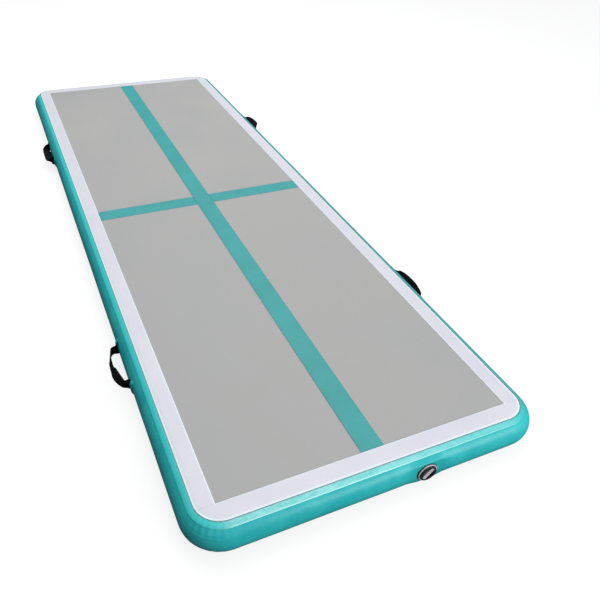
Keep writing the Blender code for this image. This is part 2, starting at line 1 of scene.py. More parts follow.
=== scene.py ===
"""Looks of the inflatable air track mat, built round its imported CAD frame.

Row frame: metres, +Z up, origin on the floor at the middle of the mat, the valve in the end wall at -Y.
The side wall bulges into a half circle. A place on it is given by "out", how far it lies outside the edge
of the flat part, and by its angle: 0 at the widest place, 90 degrees at the top.
"""

import math

import bmesh
import bpy
from mathutils import Matrix, Vector, noise


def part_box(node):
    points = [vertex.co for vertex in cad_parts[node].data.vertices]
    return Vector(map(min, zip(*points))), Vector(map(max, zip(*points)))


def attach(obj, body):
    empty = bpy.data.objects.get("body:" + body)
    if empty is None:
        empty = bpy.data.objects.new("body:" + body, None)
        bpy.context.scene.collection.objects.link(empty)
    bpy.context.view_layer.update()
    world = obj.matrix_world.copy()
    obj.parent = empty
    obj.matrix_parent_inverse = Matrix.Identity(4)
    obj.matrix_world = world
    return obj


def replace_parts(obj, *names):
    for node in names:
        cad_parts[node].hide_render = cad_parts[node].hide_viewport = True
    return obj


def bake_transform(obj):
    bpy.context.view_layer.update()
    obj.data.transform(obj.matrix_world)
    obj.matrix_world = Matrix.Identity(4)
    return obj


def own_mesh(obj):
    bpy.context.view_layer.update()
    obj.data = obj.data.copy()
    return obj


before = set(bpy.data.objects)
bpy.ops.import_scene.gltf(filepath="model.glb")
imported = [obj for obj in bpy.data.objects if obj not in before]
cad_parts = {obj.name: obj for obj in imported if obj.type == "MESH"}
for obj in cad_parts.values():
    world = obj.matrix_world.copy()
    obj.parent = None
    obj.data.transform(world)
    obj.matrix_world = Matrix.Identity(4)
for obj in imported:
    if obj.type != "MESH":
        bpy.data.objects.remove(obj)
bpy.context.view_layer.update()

# Places taken from the frame
WALL_LOW, WALL_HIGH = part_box("side_wall")
MID_Z = (WALL_LOW.z + WALL_HIGH.z) / 2
WALL_RADIUS = (WALL_HIGH.z - WALL_LOW.z) / 2
FLAT_X = WALL_HIGH.x - WALL_RADIUS
FLAT_Y = WALL_HIGH.y - WALL_RADIUS
SURFACE_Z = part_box("centre_line")[1].z
BULGE = SURFACE_Z - MID_Z
SKIN_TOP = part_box("top_skin")[1].z
SKIN_INSET = FLAT_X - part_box("top_skin")[1].x
PANEL_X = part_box("border_strip_right")[0].x
PANEL_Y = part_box("border_strip_far")[0].y
BORDER_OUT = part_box("border_strip_far")[1].y - FLAT_Y
VALVE_LOW, VALVE_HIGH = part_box("valve_body")
VALVE_X = (VALVE_LOW.x + VALVE_HIGH.x) / 2

# Sizes of the sheets, as in the CAD
GAP = 0.0003
SHEET = 0.0007
WALL_SHEET = 0.001
FLAT_CORNER = 0.056
FLANGE = 0.02
JOGGLE_START = 0.0016
JOGGLE_END = 0.0004
UPPER_TAPE_OUT = 0.029
LOWER_TAPE_INNER = 0.003
LOWER_TAPE_OUT = 0.03

# Mesh steps
CORNER_STEPS = 48
STRAIGHT_STEP = 0.02
SEAT_STEPS = 64
WALL_STEPS = 72
INNER_STEPS = 24
TAPE_STEPS = 8
GRID_STEP = 0.03
EDGE_ROUND = 0.0005
EDGE_DROP = EDGE_ROUND * 0.6
EDGE_BAND = 0.0035
CUT_SNAP = 0.0000001
MERGE = 0.000005

# Flat seat of the valve in the end wall, and how far it fades out along the wall: where the seat is
# pulled in, and where its upper and lower edges push the wall out
SEAT_OUT = 0.043
SEAT_HALF = 0.031
SEAT_PULL = (0.0305, 0.078)
SEAT_PUSH = (0.0185, 0.06)
BORE_RADIUS = 0.022
BORE_REACH = (0.03, 0.06)

# Unevenness of the inflated wall, in metres of depth
WAVE_DEPTH = 0.0006
WAVE_SCALE = 5.0
TOP_WAVE_DEPTH = 0.0002
TOP_WAVE_SCALE = 4.0
FOLD_DEPTH = 0.0009
FOLD_PITCH = 0.021
CREASE_DEPTH = 0.00022
CREASE_PITCH = 0.0105
SEAT_FOLD_DEPTH = 0.0003
SEAT_FOLDS = 9
SEAT_FOLD_RING = (0.04, 0.003, 0.0105)

# Where the corner's folds and creases lie, in degrees above and below the widest place: the middle of
# the band, how far from it they are full, and how far from it they have gone
FOLD_BAND = (48, 6, 30)
CREASE_BAND = (30, 8, 22)

# Pitch of the wall's cloth, and the size of the top's pebbles
CLOTH_PITCH = 0.0014
PEBBLE_SCALE = 620.0

# Handles
STRAP = 0.0015
STRAP_WIDTH = 0.04
TAB_END = 0.103
TAB_RISE = 0.0885
LOOP_HALF = 0.078
PIVOT_OFF = 0.011
LOOP_REACH = 0.0225
LOOP_STEPS = 64
RISE_STEPS = 12
TAB_STEPS = 4
ROOT_WIDTH = 0.03
SHOULDER_WIDTH = 0.037
GRIP_WIDTH = 0.021
GRIP_THICKNESS = 0.0048
FOLD_RUN = 0.22
BEND_IN = 0.006
BEND_LIFT = 0.003
SECTION_STEPS = 8

# Patches and covers glued round the wall, and the stitches on the covers
PATCH_CORNER = 0.008
PATCH_STEP = 0.004
PATCH_STEPS = 20
THIN_RIM = 0.35
DRAPE_GAP = 0.0004
STITCH_HALF_Y = 0.0068
STITCH_HALF_Z = 0.0175
STITCH_ROWS = (0.0, 0.003)
STITCH_PITCH = 0.0036
STITCH_LENGTH = 0.0026
STITCH_RADIUS = 0.00035
THREAD_SIDES = 6

# Valve: radii, and places along its axis as distances out from the flat part's edge
BARREL_RADIUS = 0.0217
MOUTH_RADIUS = 0.0239
RING_RADIUS = 0.0272
RING_DEPTH = 0.0022
THROAT_RADIUS = 0.018
SPIDER_RADIUS = 0.015
SPIDER_BACK = 0.019
SPIDER_FRONT = 0.022
HUB_RADII = (0.0021, 0.006)
HUB_FRONT = 0.025
ARM_MIDDLE = 0.0125
CAP_RIM_BACK = 0.0497
CAP_RIM_INNER = 0.0162
CAP_CUP_RADIUS = 0.0176
CAP_RECESS = 0.0155
CAP_MOUTH = 0.0186
CAP_TURN = 48
SWIVEL_RADIUS = 0.0179
SPRING_WIRE = 0.0006
SPRING_TURNS = 5
SPRING_STEPS = 32
WIRE_SIDES = 10

# How each strap lies. "lean" is its lean in radians at its near and far end, positive where its top edge
# leans to the wall. "fold" is where it is folded along its length, from -1 at the near end to 1 at the far
# end. "lift" is how far its middle stands up. "reach" and "half" are shares of the sizes above. "power" is
# the power of its curve at its near and far end: a higher one is squarer.
UNFOLDED = (2.0, 3.0)
HANDLE_LAYS = {
    "left_near": {
        "lean": (0.47, 0.2), "fold": (-0.24, 0.64), "lift": -0.002, "reach": 1.0, "half": 1.0,
        "power": (1.45, 2.5),
    },
    "left_far": {
        "lean": (-1.25, -1.3), "fold": UNFOLDED, "lift": -0.011, "reach": 0.22, "half": 1.0,
        "power": (3.2, 3.2),
    },
    "right_near": {
        "lean": (-0.35, -0.6), "fold": UNFOLDED, "lift": 0.0, "reach": 0.38, "half": 0.96,
        "power": (1.3, 1.7),
    },
    "right_far": {
        "lean": (-0.6, -0.8), "fold": UNFOLDED, "lift": 0.002, "reach": 0.68, "half": 0.86,
        "power": (1.7, 2.0),
    },
}

# Camera: focal length over sensor width, place, and its turns
LENS = 38.174
SENSOR = 36.0
CAMERA_PLACE = (-0.65020, -2.26585, 1.34888)
CAMERA_PITCH = 0.646183
CAMERA_YAW = 0.460659
CAMERA_ROLL = 0.054999
CAMERA_REACH = (0.05, 60.0)

# Light: the share of each direction in the sky's brightness, its two colours, and each lamp's place,
# target, size and power
SKY_SHARES = {"X": 0.3, "Y": -0.3, "Z": 0.9}
SKY_DARK = (0.09, 0.095, 0.1)
SKY_BRIGHT = (0.97, 0.985, 1.0)
SKY_STRENGTH = 0.68
LAMPS = {
    "overhead": ((0.45, 1.2, 3.4), (0.0, 0.5, 0.0), (3.2, 4.2), 104.0),
    "front": ((1.1, -3.4, 0.85), (0.1, -1.5, 0.05), (1.6, 0.9), 36.0),
}
FLOOR_HALF = 9.0
FLOOR_Z = -0.0004
FLOOR_GLOW = 0.82


# Node trees


def scaled(colour, factor):
    return tuple(min(1.0, channel * factor) for channel in colour)


class Nodes:
    """Adds nodes to a tree. A value is a number, a tuple, or the output of another node."""

    def __init__(self, tree):
        self.tree = tree

    def drive(self, socket, value):
        if isinstance(value, bpy.types.NodeSocket):
            self.tree.links.new(value, socket)
        else:
            socket.default_value = value

    def add(self, kind, output, values, **settings):
        node = self.tree.nodes.new("ShaderNode" + kind)
        for name, setting in settings.items():
            setattr(node, name, setting)
        for name, value in values.items():
            self.drive(node.inputs[name], value)
        return node.outputs[output]

    def along(self, vector, axis):
        return self.add("SeparateXYZ", axis, {0: vector})

    def calculate(self, operation, first, second):
        return self.add("Math", 0, {0: first, 1: second}, operation=operation)

    def times(self, first, second):
        return self.calculate("MULTIPLY", first, second)

    def plus(self, first, second):
        return self.calculate("ADD", first, second)

    def remap(self, value, low, high, new_low=0.0, new_high=1.0):
        values = {"Value": value, "From Min": low, "From Max": high, "To Min": new_low, "To Max": new_high}
        return self.add("MapRange", "Result", values, interpolation_type="SMOOTHSTEP")

    def mix(self, factor, first, second):
        first, second = ((*item, 1.0) if isinstance(item, tuple) else item for item in (first, second))
        return self.add("Mix", 2, {"Factor": factor, 6: first, 7: second}, data_type="RGBA")


class Look(Nodes):
    """A new material. Its textures use the piece's own coordinates unless another vector is given."""

    def __init__(self, name, colour, roughness, metallic=0.0, specular=0.5):
        self.material = bpy.data.materials.new(name)
        self.material.use_nodes = True
        super().__init__(self.material.node_tree)
        self.place = self.add("TexCoord", "Object", {})
        self.set("Base Color", (*colour, 1.0))
        self.set("Roughness", roughness)
        self.set("Metallic", metallic)
        self.set("Specular IOR Level", specular)

    def set(self, name, value):
        self.drive(self.tree.nodes["Principled BSDF"].inputs[name], value)

    def attribute(self, name, output="Fac"):
        return self.add("Attribute", output, {}, attribute_name=name)

    def stretched(self, *scale):
        return self.add("Mapping", "Vector", {"Vector": self.place, "Scale": scale})

    def noise(self, scale, detail=3.0, roughness=0.5, vector=None):
        vector = vector or self.place
        values = {"Vector": vector, "Scale": scale, "Detail": detail, "Roughness": roughness}
        return self.add("TexNoise", "Fac", values)

    def patches(self, scale, detail, roughness, low, high, vector=None):
        """Noise whose values from low to high are spread over 0 to 1."""
        return self.remap(self.noise(scale, detail, roughness, vector), low, high)

    def cells(self, scale):
        values = {"Vector": self.place, "Scale": scale}
        return self.add("TexVoronoi", "Distance", values, feature="SMOOTH_F1")

    def waves(self, direction, pitch, distortion=0.0, vector=None):
        """Ridges across one direction, one every pitch metres."""
        values = {"Vector": vector or self.place, "Scale": math.pi / 10 / pitch, "Distortion": distortion}
        return self.add("TexWave", "Fac", values, wave_type="BANDS", bands_direction=direction)

    def weave(self, pitch, distortion=0.0):
        """Ridges across X crossed by ridges across Y."""
        return self.times(self.waves("X", pitch, distortion), self.waves("Y", pitch, distortion))

    def bump(self, height, depth, normal=None):
        values = {"Strength": 1.0, "Distance": depth, "Height": height}
        if normal is not None:
            values["Normal"] = normal
        return self.add("Bump", "Normal", values)


# Materials. noise() and patches() are given a texture's scale, detail, roughness and range.


def base_material():
    """Underside: an even grey with faint blotches, the base cloth's weave showing through."""
    colour = (0.21, 0.22, 0.22)
    look = Look("base_pvc", colour, 0.6)
    look.set("Base Color", look.mix(look.noise(7.0, 4.0, 0.6), scaled(colour, 0.9), scaled(colour, 1.1)))
    look.set("Roughness", look.remap(look.noise(23.0, 5.0, 0.65), 0.3, 0.7, 0.55, 0.67))
    cloth = look.plus(look.weave(CLOTH_PITCH), look.times(look.waves("Z", CLOTH_PITCH), 0.5))
    grain = look.times(look.noise(900.0, 2.0), 0.5)
    look.set("Normal", look.bump(look.plus(cloth, grain), 0.00003))
    return look.material


def panel_material():
    """Grey top: a fine pebbled non-slip emboss, faint smudges and short scuffs."""
    colour = (0.40, 0.405, 0.40)
    warm = (0.415, 0.41, 0.395)
    look = Look("panel_pvc", colour, 0.55, specular=0.35)
    smudge = look.patches(3.2, 5.0, 0.6, 0.3, 0.75)
    base = look.mix(smudge, scaled(colour, 0.97), warm)
    streaks = look.patches(2.0, 6.0, 0.7, 0.62, 0.8, look.stretched(26.0, 3.5, 1.0))
    base = look.mix(look.times(streaks, 0.25), base, scaled(colour, 0.9))
    speck = look.patches(420.0, 2.0, 0.5, 0.35, 0.65)
    base = look.mix(look.times(speck, 0.35), base, scaled(colour, 0.93))
    look.set("Base Color", base)
    look.set("Roughness", look.remap(smudge, 0.0, 1.0, 0.5, 0.62))
    pebbles = look.bump(look.cells(PEBBLE_SCALE), 0.00008)
    look.set("Normal", look.bump(look.weave(0.009, 0.3), 0.00012, pebbles))
    return look.material


def border_material():
    """Satin white strip, with a painted highlight along both edges that are glossier there, and a painted
    shade line at the very outer edge.
    """
    colour = (0.675, 0.68, 0.76)
    # Colours of the painted highlight along both edges and of the painted shade line at the outer edge.
    light = (0.80, 0.95, 0.97)
    gap_shade = (0.33, 0.36, 0.38)
    look = Look("border_pvc", colour, 0.38)
    cloud = look.patches(9.0, 4.0, 0.6, 0.35, 0.7)
    base = look.mix(cloud, scaled(colour, 0.975), (0.70, 0.69, 0.755))
    scuffs = look.patches(6.0, 8.0, 0.75, 0.64, 0.78, look.stretched(9.0, 9.0, 1.0))
    base = look.mix(look.times(scuffs, 0.16), base, (0.6, 0.6, 0.62))
    # Painted highlight along both edges; the strip is glossier there as well.
    painted_highlight = look.attribute("painted_highlight")
    base = look.mix(painted_highlight, base, light)
    # Painted shade: a thin dark line at the very outer edge, at the seam with the tape.
    look.set("Base Color", look.mix(look.times(look.attribute("edge"), 0.75), base, gap_shade))
    look.set("Roughness", look.remap(painted_highlight, 0.0, 1.0, 0.42, 0.24))
    look.set("Normal", look.bump(look.weave(0.0013), 0.000025))
    return look.material


def line_material():
    """Teal lines welded on the panel, with a thin darker edge."""
    colour = (0.052, 0.35, 0.352)
    dark = (0.04, 0.25, 0.26)
    look = Look("line_pvc", colour, 0.5, specular=0.3)
    base = look.mix(look.patches(8.0, 5.0, 0.6, 0.3, 0.7), scaled(colour, 0.94), scaled(colour, 1.05))
    scuffs = look.patches(3.0, 7.0, 0.7, 0.6, 0.78, look.stretched(30.0, 5.0, 1.0))
    base = look.mix(look.times(scuffs, 0.3), base, (0.12, 0.44, 0.44))
    look.set("Base Color", look.mix(look.times(look.attribute("edge"), 0.6), base, dark))
    look.set("Normal", look.bump(look.cells(PEBBLE_SCALE), 0.00006))
    return look.material


def wall_material():
    """Glossy teal side wall, with painted shade that darkens it towards the floor."""
    floor_shade_colour = (0.014, 0.08, 0.09)
    look = Look("wall_pvc", (0.02, 0.43, 0.45), 0.34, specular=0.22)
    cloud = look.patches(11.0, 5.0, 0.62, 0.3, 0.72)
    base = look.mix(cloud, (0.022, 0.44, 0.47), (0.042, 0.54, 0.54))
    # Painted shade: the colour darkens towards the floor below a ragged edge, and the roughness rises there
    # too.
    ragged = look.times(look.noise(35.0, 5.0, 0.65), 0.018)
    height = look.calculate("SUBTRACT", look.along(look.place, "Z"), ragged)
    painted_floor_shade = look.remap(height, -0.006, 0.039, 1.0, 0.0)
    look.set("Base Color", look.mix(look.times(painted_floor_shade, 0.8), base, floor_shade_colour))
    look.set("Roughness", look.remap(painted_floor_shade, 0.0, 1.0, 0.32, 0.6))
    cloth = look.bump(look.plus(look.weave(CLOTH_PITCH), look.waves("Z", CLOTH_PITCH)), 0.00002)
    slack = look.noise(60.0, vector=look.stretched(1.0, 1.0, 0.35))
    look.set("Normal", look.bump(slack, 0.0006, cloth))
    return look.material


def tape_material():
    """Seam tape with a painted reflection, whitened and mottled, along the two ends, and a thin painted
    highlight along its lower edge.

    Away from the painted reflection, painted light makes the tape lighter along the top of the left side,
    and painted shade makes it duller along the right side; a thin painted shade line runs along its upper
    edge.
    """
    teal = (0.034, 0.51, 0.52)
    look = Look("tape_pvc", teal, 0.3, specular=0.3)
    mottle = look.patches(30.0, 8.0, 0.75, 0.34, 0.68, look.stretched(1.0, 4.0, 4.0))
    # Painted reflection along the two ends: a whitened, mottled and brushed teal.
    reflection_colour = look.mix(mottle, (0.13, 0.60, 0.60), (0.34, 0.76, 0.75))
    brushed = look.patches(170.0, 4.0, 0.75, 0.42, 0.66, look.stretched(1.0, 6.0, 6.0))
    reflection_colour = look.mix(look.times(brushed, 0.3), reflection_colour, (0.5, 0.88, 0.86))
    # Painted light makes the top of the left side lighter, and painted shade makes the right side duller.
    across = look.along(look.place, "X")
    top_painted_light = look.remap(look.along(look.place, "Z"), 0.083, 0.097)
    left_painted_light = look.remap(across, -0.46, -0.38, 1.0, 0.0)
    painted_light_tape = look.mix(look.times(top_painted_light, left_painted_light), teal, (0.06, 0.66, 0.67))
    painted_light_tape = look.mix(look.remap(across, 0.44, 0.47, 0.0, 0.75), painted_light_tape, (0.10, 0.36, 0.35))
    # Lay on the painted reflection, then the painted highlight along the lower edge, then the painted shade
    # line along the upper edge.
    base = look.mix(look.attribute("painted_reflection"), painted_light_tape, reflection_colour)
    base = look.mix(look.attribute("painted_highlight"), base, (0.52, 0.97, 0.97))
    look.set("Base Color", look.mix(look.times(look.attribute("edge"), 0.85), base, (0.09, 0.15, 0.16)))
    look.set("Roughness", look.remap(mottle, 0.0, 1.0, 0.22, 0.42))
    look.set("Normal", look.bump(look.noise(150.0, 5.0, 0.6), 0.0003))
    return look.material


def webbing_material():
    """Black webbing: ribs along the strap crossed by a fine herringbone, the ridges a little lighter in
    patches.
    """
    look = Look("webbing_black", (0.004, 0.004, 0.005), 0.8, specular=0.12)
    look.set("Sheen Weight", 0.04)
    look.set("Sheen Roughness", 0.4)
    strap = look.attribute("strap_place", "Vector")
    slant = look.times(look.waves("DIAGONAL", 0.0012, vector=strap), 0.6)
    height = look.plus(look.waves("Y", 0.0016, vector=strap), slant)
    ridge = look.times(look.remap(height, 0.7, 1.5), look.patches(90.0, 4.0, 0.5, 0.4, 0.75))
    look.set("Base Color", look.mix(ridge, (0.003, 0.003, 0.004), (0.012, 0.012, 0.013)))
    look.set("Normal", look.bump(height, 0.00025))
    return look.material


def thread_material():
    colour = (0.03, 0.2, 0.22)
    look = Look("thread_teal", colour, 0.6)
    twist = look.waves("DIAGONAL", 0.0005)
    look.set("Base Color", look.mix(twist, scaled(colour, 0.6), scaled(colour, 1.3)))
    look.set("Normal", look.bump(twist, 0.0001))
    return look.material


def plastic_material(name, colour, roughness):
    """Moulded plastic: a spark-eroded grain, with scuffs that are lighter and duller."""
    look = Look(name, colour, roughness)
    scuffs = look.patches(160.0, 6.0, 0.7, 0.5, 0.8)
    look.set("Base Color", look.mix(look.times(scuffs, 0.5), colour, scaled(colour, 1.35)))
    look.set("Roughness", look.remap(scuffs, 0.0, 1.0, roughness, roughness + 0.2))
    look.set("Normal", look.bump(look.noise(2600.0, 2.0), 0.00004))
    return look.material


def rubber_material():
    look = Look("rubber_black", (0.02, 0.02, 0.021), 0.65, specular=0.35)
    bloom = look.patches(180.0, 5.0, 0.5, 0.4, 0.75)
    look.set("Base Color", look.mix(bloom, (0.016, 0.016, 0.017), (0.045, 0.045, 0.047)))
    look.set("Normal", look.bump(look.noise(1800.0, 2.0), 0.00005))
    return look.material


def steel_material():
    look = Look("spring_steel", (0.62, 0.61, 0.6), 0.28, metallic=1.0)
    drawn = look.noise(1500.0)
    look.set("Roughness", look.remap(drawn, 0.3, 0.7, 0.2, 0.38))
    look.set("Normal", look.bump(drawn, 0.00003))
    return look.material


def yarn_material():
    look = Look("yarn_white", (0.72, 0.71, 0.68), 0.85, specular=0.2)
    fibres = look.waves("DIAGONAL", 0.0009, 1.5)
    look.set("Base Color", look.mix(fibres, (0.6, 0.59, 0.56), (0.78, 0.77, 0.74)))
    look.set("Normal", look.bump(fibres, 0.0003))
    return look.material


# Mesh helpers


def smoothstep(value):
    value = max(0.0, min(1.0, value))
    return value * value * (3 - 2 * value)


def ramp(value, start, width):
    """0 up to start, then a smooth rise to 1 over the width."""
    return smoothstep((value - start) / width)


def mesh_piece(name, vertices, faces, material, smooth=True, sharp_degrees=40, merge=0.0):
    mesh = bpy.data.meshes.new(name)
    mesh.from_pydata([tuple(point) for point in vertices], [], faces)
    bm = bmesh.new()
    bm.from_mesh(mesh)
    if merge:
        bmesh.ops.remove_doubles(bm, verts=bm.verts, dist=merge)
    bmesh.ops.recalc_face_normals(bm, faces=bm.faces)
    bm.to_mesh(mesh)
    bm.free()
    if smooth:
        mesh.shade_smooth()
        mesh.set_sharp_from_angle(angle=math.radians(sharp_degrees))
    piece = bpy.data.objects.new(name, mesh)
    bpy.context.scene.collection.objects.link(piece)
    mesh.materials.append(material)
    return piece


def paint(piece, name, rule):
    """Store a value from 0 to 1 at every vertex, for the material to read."""
    layer = piece.data.attributes.new(name, "FLOAT", "POINT")
    for index, vertex in enumerate(piece.data.vertices):
        layer.data[index].value = rule(vertex.co)


def tube_faces(rings, count, closed_ends=False, ring_closed=False):
    """Quads between rings of points; each ring is closed."""
    faces = []
    last = rings if ring_closed else rings - 1
    for row in range(last):
        near = row * count
        far = (row + 1) % rings * count
        for column in range(count):
            side = (column + 1) % count
            faces.append((near + column, far + column, far + side, near + side))
    if closed_ends:
        faces.append(tuple(range(count)))
        faces.append(tuple(range((rings - 1) * count, rings * count)))
    return faces


def grid_faces(nx, ny):
    """Faces of a closed plate: two grids of nx by ny points, one over the other, and the rim between."""
    faces = []
    for level in range(2):
        for row in range(ny - 1):
            for column in range(nx - 1):
                first = (level * ny + row) * nx + column
                faces.append((first, first + 1, first + nx + 1, first + nx))
    rim = list(range(nx))
    rim += [row * nx + nx - 1 for row in range(1, ny)]
    rim += [(ny - 1) * nx + column for column in range(nx - 2, -1, -1)]
    rim += [row * nx for row in range(ny - 2, 0, -1)]
    for index, first in enumerate(rim):
        after = rim[(index + 1) % len(rim)]
        faces.append((first, after, after + nx * ny, first + nx * ny))
    return faces


# The rounded outline of the flat part, and the field that makes the wall uneven


def outline_place(x, y):
    """(out, direction, corner share, length round the corner) of a point."""
    core_x = max(abs(x) - (FLAT_X - FLAT_CORNER), 0.0)
    core_y = max(abs(y) - (FLAT_Y - FLAT_CORNER), 0.0)
    distance = math.hypot(core_x, core_y)
    if distance == 0:
        return (-FLAT_CORNER, (0.0, 0.0), 0.0, 0.0)
    direction = (math.copysign(core_x / distance, x), math.copysign(core_y / distance, y))
    turn = math.atan2(core_y, core_x)
    return (distance - FLAT_CORNER, direction, math.sin(2 * turn), turn * (FLAT_CORNER + BULGE))


def fade(distance, flat, end):
    return smoothstep((end - abs(distance)) / (end - flat))


def angle_band(angle, middle, flat, end):
    return fade(abs(angle) - math.radians(middle), math.radians(flat), math.radians(end))


def unevenness(x, y, z, out, corner, length):
    """How far the wall stands out of its true half circle at this place."""
    angle = math.atan2(z - MID_Z, max(out, 0.0))
    slack = math.cos(angle) ** 2
    shift = WAVE_DEPTH * slack * noise.noise(Vector((x, y, z)) * WAVE_SCALE)
    if corner > 0:
        ripple = 0.5 + 0.5 * math.sin(2 * math.pi * length / FOLD_PITCH)
        shift -= FOLD_DEPTH * corner ** 0.5 * angle_band(angle, *FOLD_BAND) * ripple
        crease = math.sin(2 * math.pi * angle * BULGE / CREASE_PITCH)
        shift += CREASE_DEPTH * corner * angle_band(angle, *CREASE_BAND) * crease
    return shift


def seat_folds(x, z):
    """Shallow folds that run out from the clamped valve."""
    across = x - VALVE_X
    up = z - MID_Z
    middle, flat, end = SEAT_FOLD_RING
    ring = fade(math.hypot(across, up) - middle, flat, end)
    return -SEAT_FOLD_DEPTH * ring * (0.5 + 0.5 * math.sin(SEAT_FOLDS * math.atan2(up, across)))


def settle(x, y, z, on_wall_sheet=False):
    """A point of a piece that lies on the mat, moved the way the air-filled skin lies."""
    out, direction, corner, length = outline_place(x, y)
    if out <= 0:
        if z > MID_Z:
            inside = smoothstep(-out / (FLAT_CORNER / 2))
            z += TOP_WAVE_DEPTH * inside * noise.noise(Vector((x, y, 0.0)) * TOP_WAVE_SCALE)
        return (x, y, z)
    shift = unevenness(x, y, z, out, corner, length)
    radius = max(math.hypot(out, z - MID_Z), 0.001)
    if y < 0 and on_wall_sheet:
        reach = seat_reach(math.atan2(z - MID_Z, out)) - WALL_RADIUS
        span = SEAT_PULL if reach < 0 else SEAT_PUSH
        weight = fade(x - VALVE_X, *span)
        shift = shift * (1 - weight) + weight * reach + seat_folds(x, z)
    step_out = shift * out / radius
    z += shift * (z - MID_Z) / radius
    return (x + step_out * direction[0], y + step_out * direction[1], z)


def seat_reach(angle):
    """Radius of the wall over the valve's seat: flat on the seat, then straight on to the half circle."""
    angle = abs(angle)
    edge = math.atan2(SEAT_HALF, SEAT_OUT)
    if angle <= edge:
        return SEAT_OUT / math.cos(angle)
    edge_radius = math.hypot(SEAT_OUT, SEAT_HALF)
    touch = edge + math.acos(WALL_RADIUS / edge_radius)
    if angle >= touch:
        return WALL_RADIUS
    return WALL_RADIUS / math.cos(touch - angle)


def ring_stations(with_valve=False):
    """(point, direction) all the way round the flat part, anticlockwise from +X, +Y."""
    stations = []
    corners = []
    for quarter in range(4):
        start = quarter * math.pi / 2
        sign_x = 1 if quarter in (0, 3) else -1
        sign_y = 1 if quarter in (0, 1) else -1
        centre = Vector((sign_x * (FLAT_X - FLAT_CORNER), sign_y * (FLAT_Y - FLAT_CORNER)))
        arc = []
        for step in range(CORNER_STEPS + 1):
            angle = start + step * math.pi / 2 / CORNER_STEPS
            direction = Vector((math.cos(angle), math.sin(angle)))
            arc.append((centre + FLAT_CORNER * direction, direction))
        corners.append(arc)
    for quarter in range(4):
        stations += corners[quarter]
        first, direction = corners[quarter][-1]
        last = corners[(quarter + 1) % 4][0][0]
        places = straight_places(first, last, with_valve and quarter == 2)
        stations += [(first + (last - first) * share, direction) for share in places]
    return stations


def straight_places(first, last, with_valve):
    length = (last - first).length
    steps = round(length / STRAIGHT_STEP)
    places = [step / steps for step in range(1, steps)]
    if with_valve:
        low = (VALVE_X - SEAT_PULL[1] - first.x) / length
        high = (VALVE_X + SEAT_PULL[1] - first.x) / length
        places = [place for place in places if not low < place < high]
        places += [low + (high - low) * step / SEAT_STEPS for step in range(SEAT_STEPS + 1)]
    return sorted(places)


def sweep_ring(name, section, material, with_valve=False):
    """Sweep a closed section of (out, z) points round the mat."""
    stations = ring_stations(with_valve)
    vertices = []
    for point, direction in stations:
        for out, z in section:
            place = point + out * direction
            vertices.append(settle(place.x, place.y, z, with_valve))
    return mesh_piece(name, vertices, tube_faces(len(stations), len(section), ring_closed=True), material)


def arc_point(radius, angle):
    """(out, z) of a place on the wall's half circle."""
    return (radius * math.cos(angle), MID_Z + radius * math.sin(angle))


def arc_points(radius, first, last, steps):
    return [arc_point(radius, first + (last - first) * step / steps) for step in range(steps + 1)]


# Skins, side wall and tapes


def axis_places(half, edge_band):
    """Grid lines from -half to half, with a narrow band along each edge."""
    inner = half - edge_band
    steps = max(1, round(2 * inner / GRID_STEP))
    places = [-half, -half + EDGE_ROUND]
    places += [-inner + 2 * inner * step / steps for step in range(steps + 1)]
    return places + [half - EDGE_ROUND, half]


def plate(name, xs, ys, top, thickness, material, reshape):
    """A thin closed plate on a grid; its top edge is slightly rounded."""
    vertices = []
    for level in range(2):
        for y in ys:
            for x in xs:
                is_rim = y in (ys[0], ys[-1]) or x in (xs[0], xs[-1])
                top_drop = EDGE_DROP if is_rim else 0.0
                vertices.append(reshape(x, y, top - (top_drop if level else thickness)))
    return mesh_piece(name, vertices, grid_faces(len(xs), len(ys)), material)


def rounded_corner(x, y, z):
    """Pull the corner of a skin in to its rounded outline."""
    out, direction, corner = outline_place(x, y)[:3]
    excess = out + SKIN_INSET
    if corner > 0 and excess > 0:
        x -= excess * direction[0]
        y -= excess * direction[1]
    return settle(x, y, z)


def make_skins(panel, base):
    xs = axis_places(FLAT_X - SKIN_INSET, GRID_STEP)
    ys = axis_places(FLAT_Y - SKIN_INSET, GRID_STEP)
    top = plate("panel_surface", xs, ys, SKIN_TOP, SHEET, panel, rounded_corner)
    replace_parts(top, "top_skin")
    under = plate("underside", xs, ys, SHEET, SHEET, base, rounded_corner)
    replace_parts(under, "bottom_skin")
    return top, under


def make_side_wall(material):
    top = MID_Z + WALL_RADIUS
    bottom = MID_Z - WALL_RADIUS
    flange_top = top - GAP - SHEET
    section = [(-FLANGE, flange_top), (-JOGGLE_START, flange_top), (-JOGGLE_END, top)]
    section += arc_points(WALL_RADIUS, math.pi / 2, -math.pi / 2, WALL_STEPS)
    section += [(-FLANGE, bottom), (-FLANGE, bottom + WALL_SHEET)]
    section += arc_points(WALL_RADIUS - WALL_SHEET, -math.pi / 2, math.pi / 2, INNER_STEPS)
    section += [(-JOGGLE_END, top - WALL_SHEET), (-JOGGLE_START, flange_top - WALL_SHEET)]
    section += [(-FLANGE, flange_top - WALL_SHEET)]
    wall = sweep_ring("side_band", section, material, with_valve=True)
    cut_round_hole(wall)
    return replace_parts(wall, "side_wall")


def cut_round_hole(wall):
    """Cut the valve's bore, and keep only the resulting mesh."""
    back, front = BORE_REACH
    profile = [(0.0, back), (BORE_RADIUS, back), (BORE_RADIUS, front), (0.0, front)]
    cutter = turned("bore_cutter", profile, wall.data.materials[0])
    modifier = wall.modifiers.new("bore", "BOOLEAN")
    modifier.operation = "DIFFERENCE"
    modifier.solver = "EXACT"
    modifier.object = cutter
    graph = bpy.context.evaluated_depsgraph_get()
    cut = bpy.data.meshes.new_from_object(wall.evaluated_get(graph))
    wall.modifiers.clear()
    wall.data = cut
    bpy.data.objects.remove(cutter)


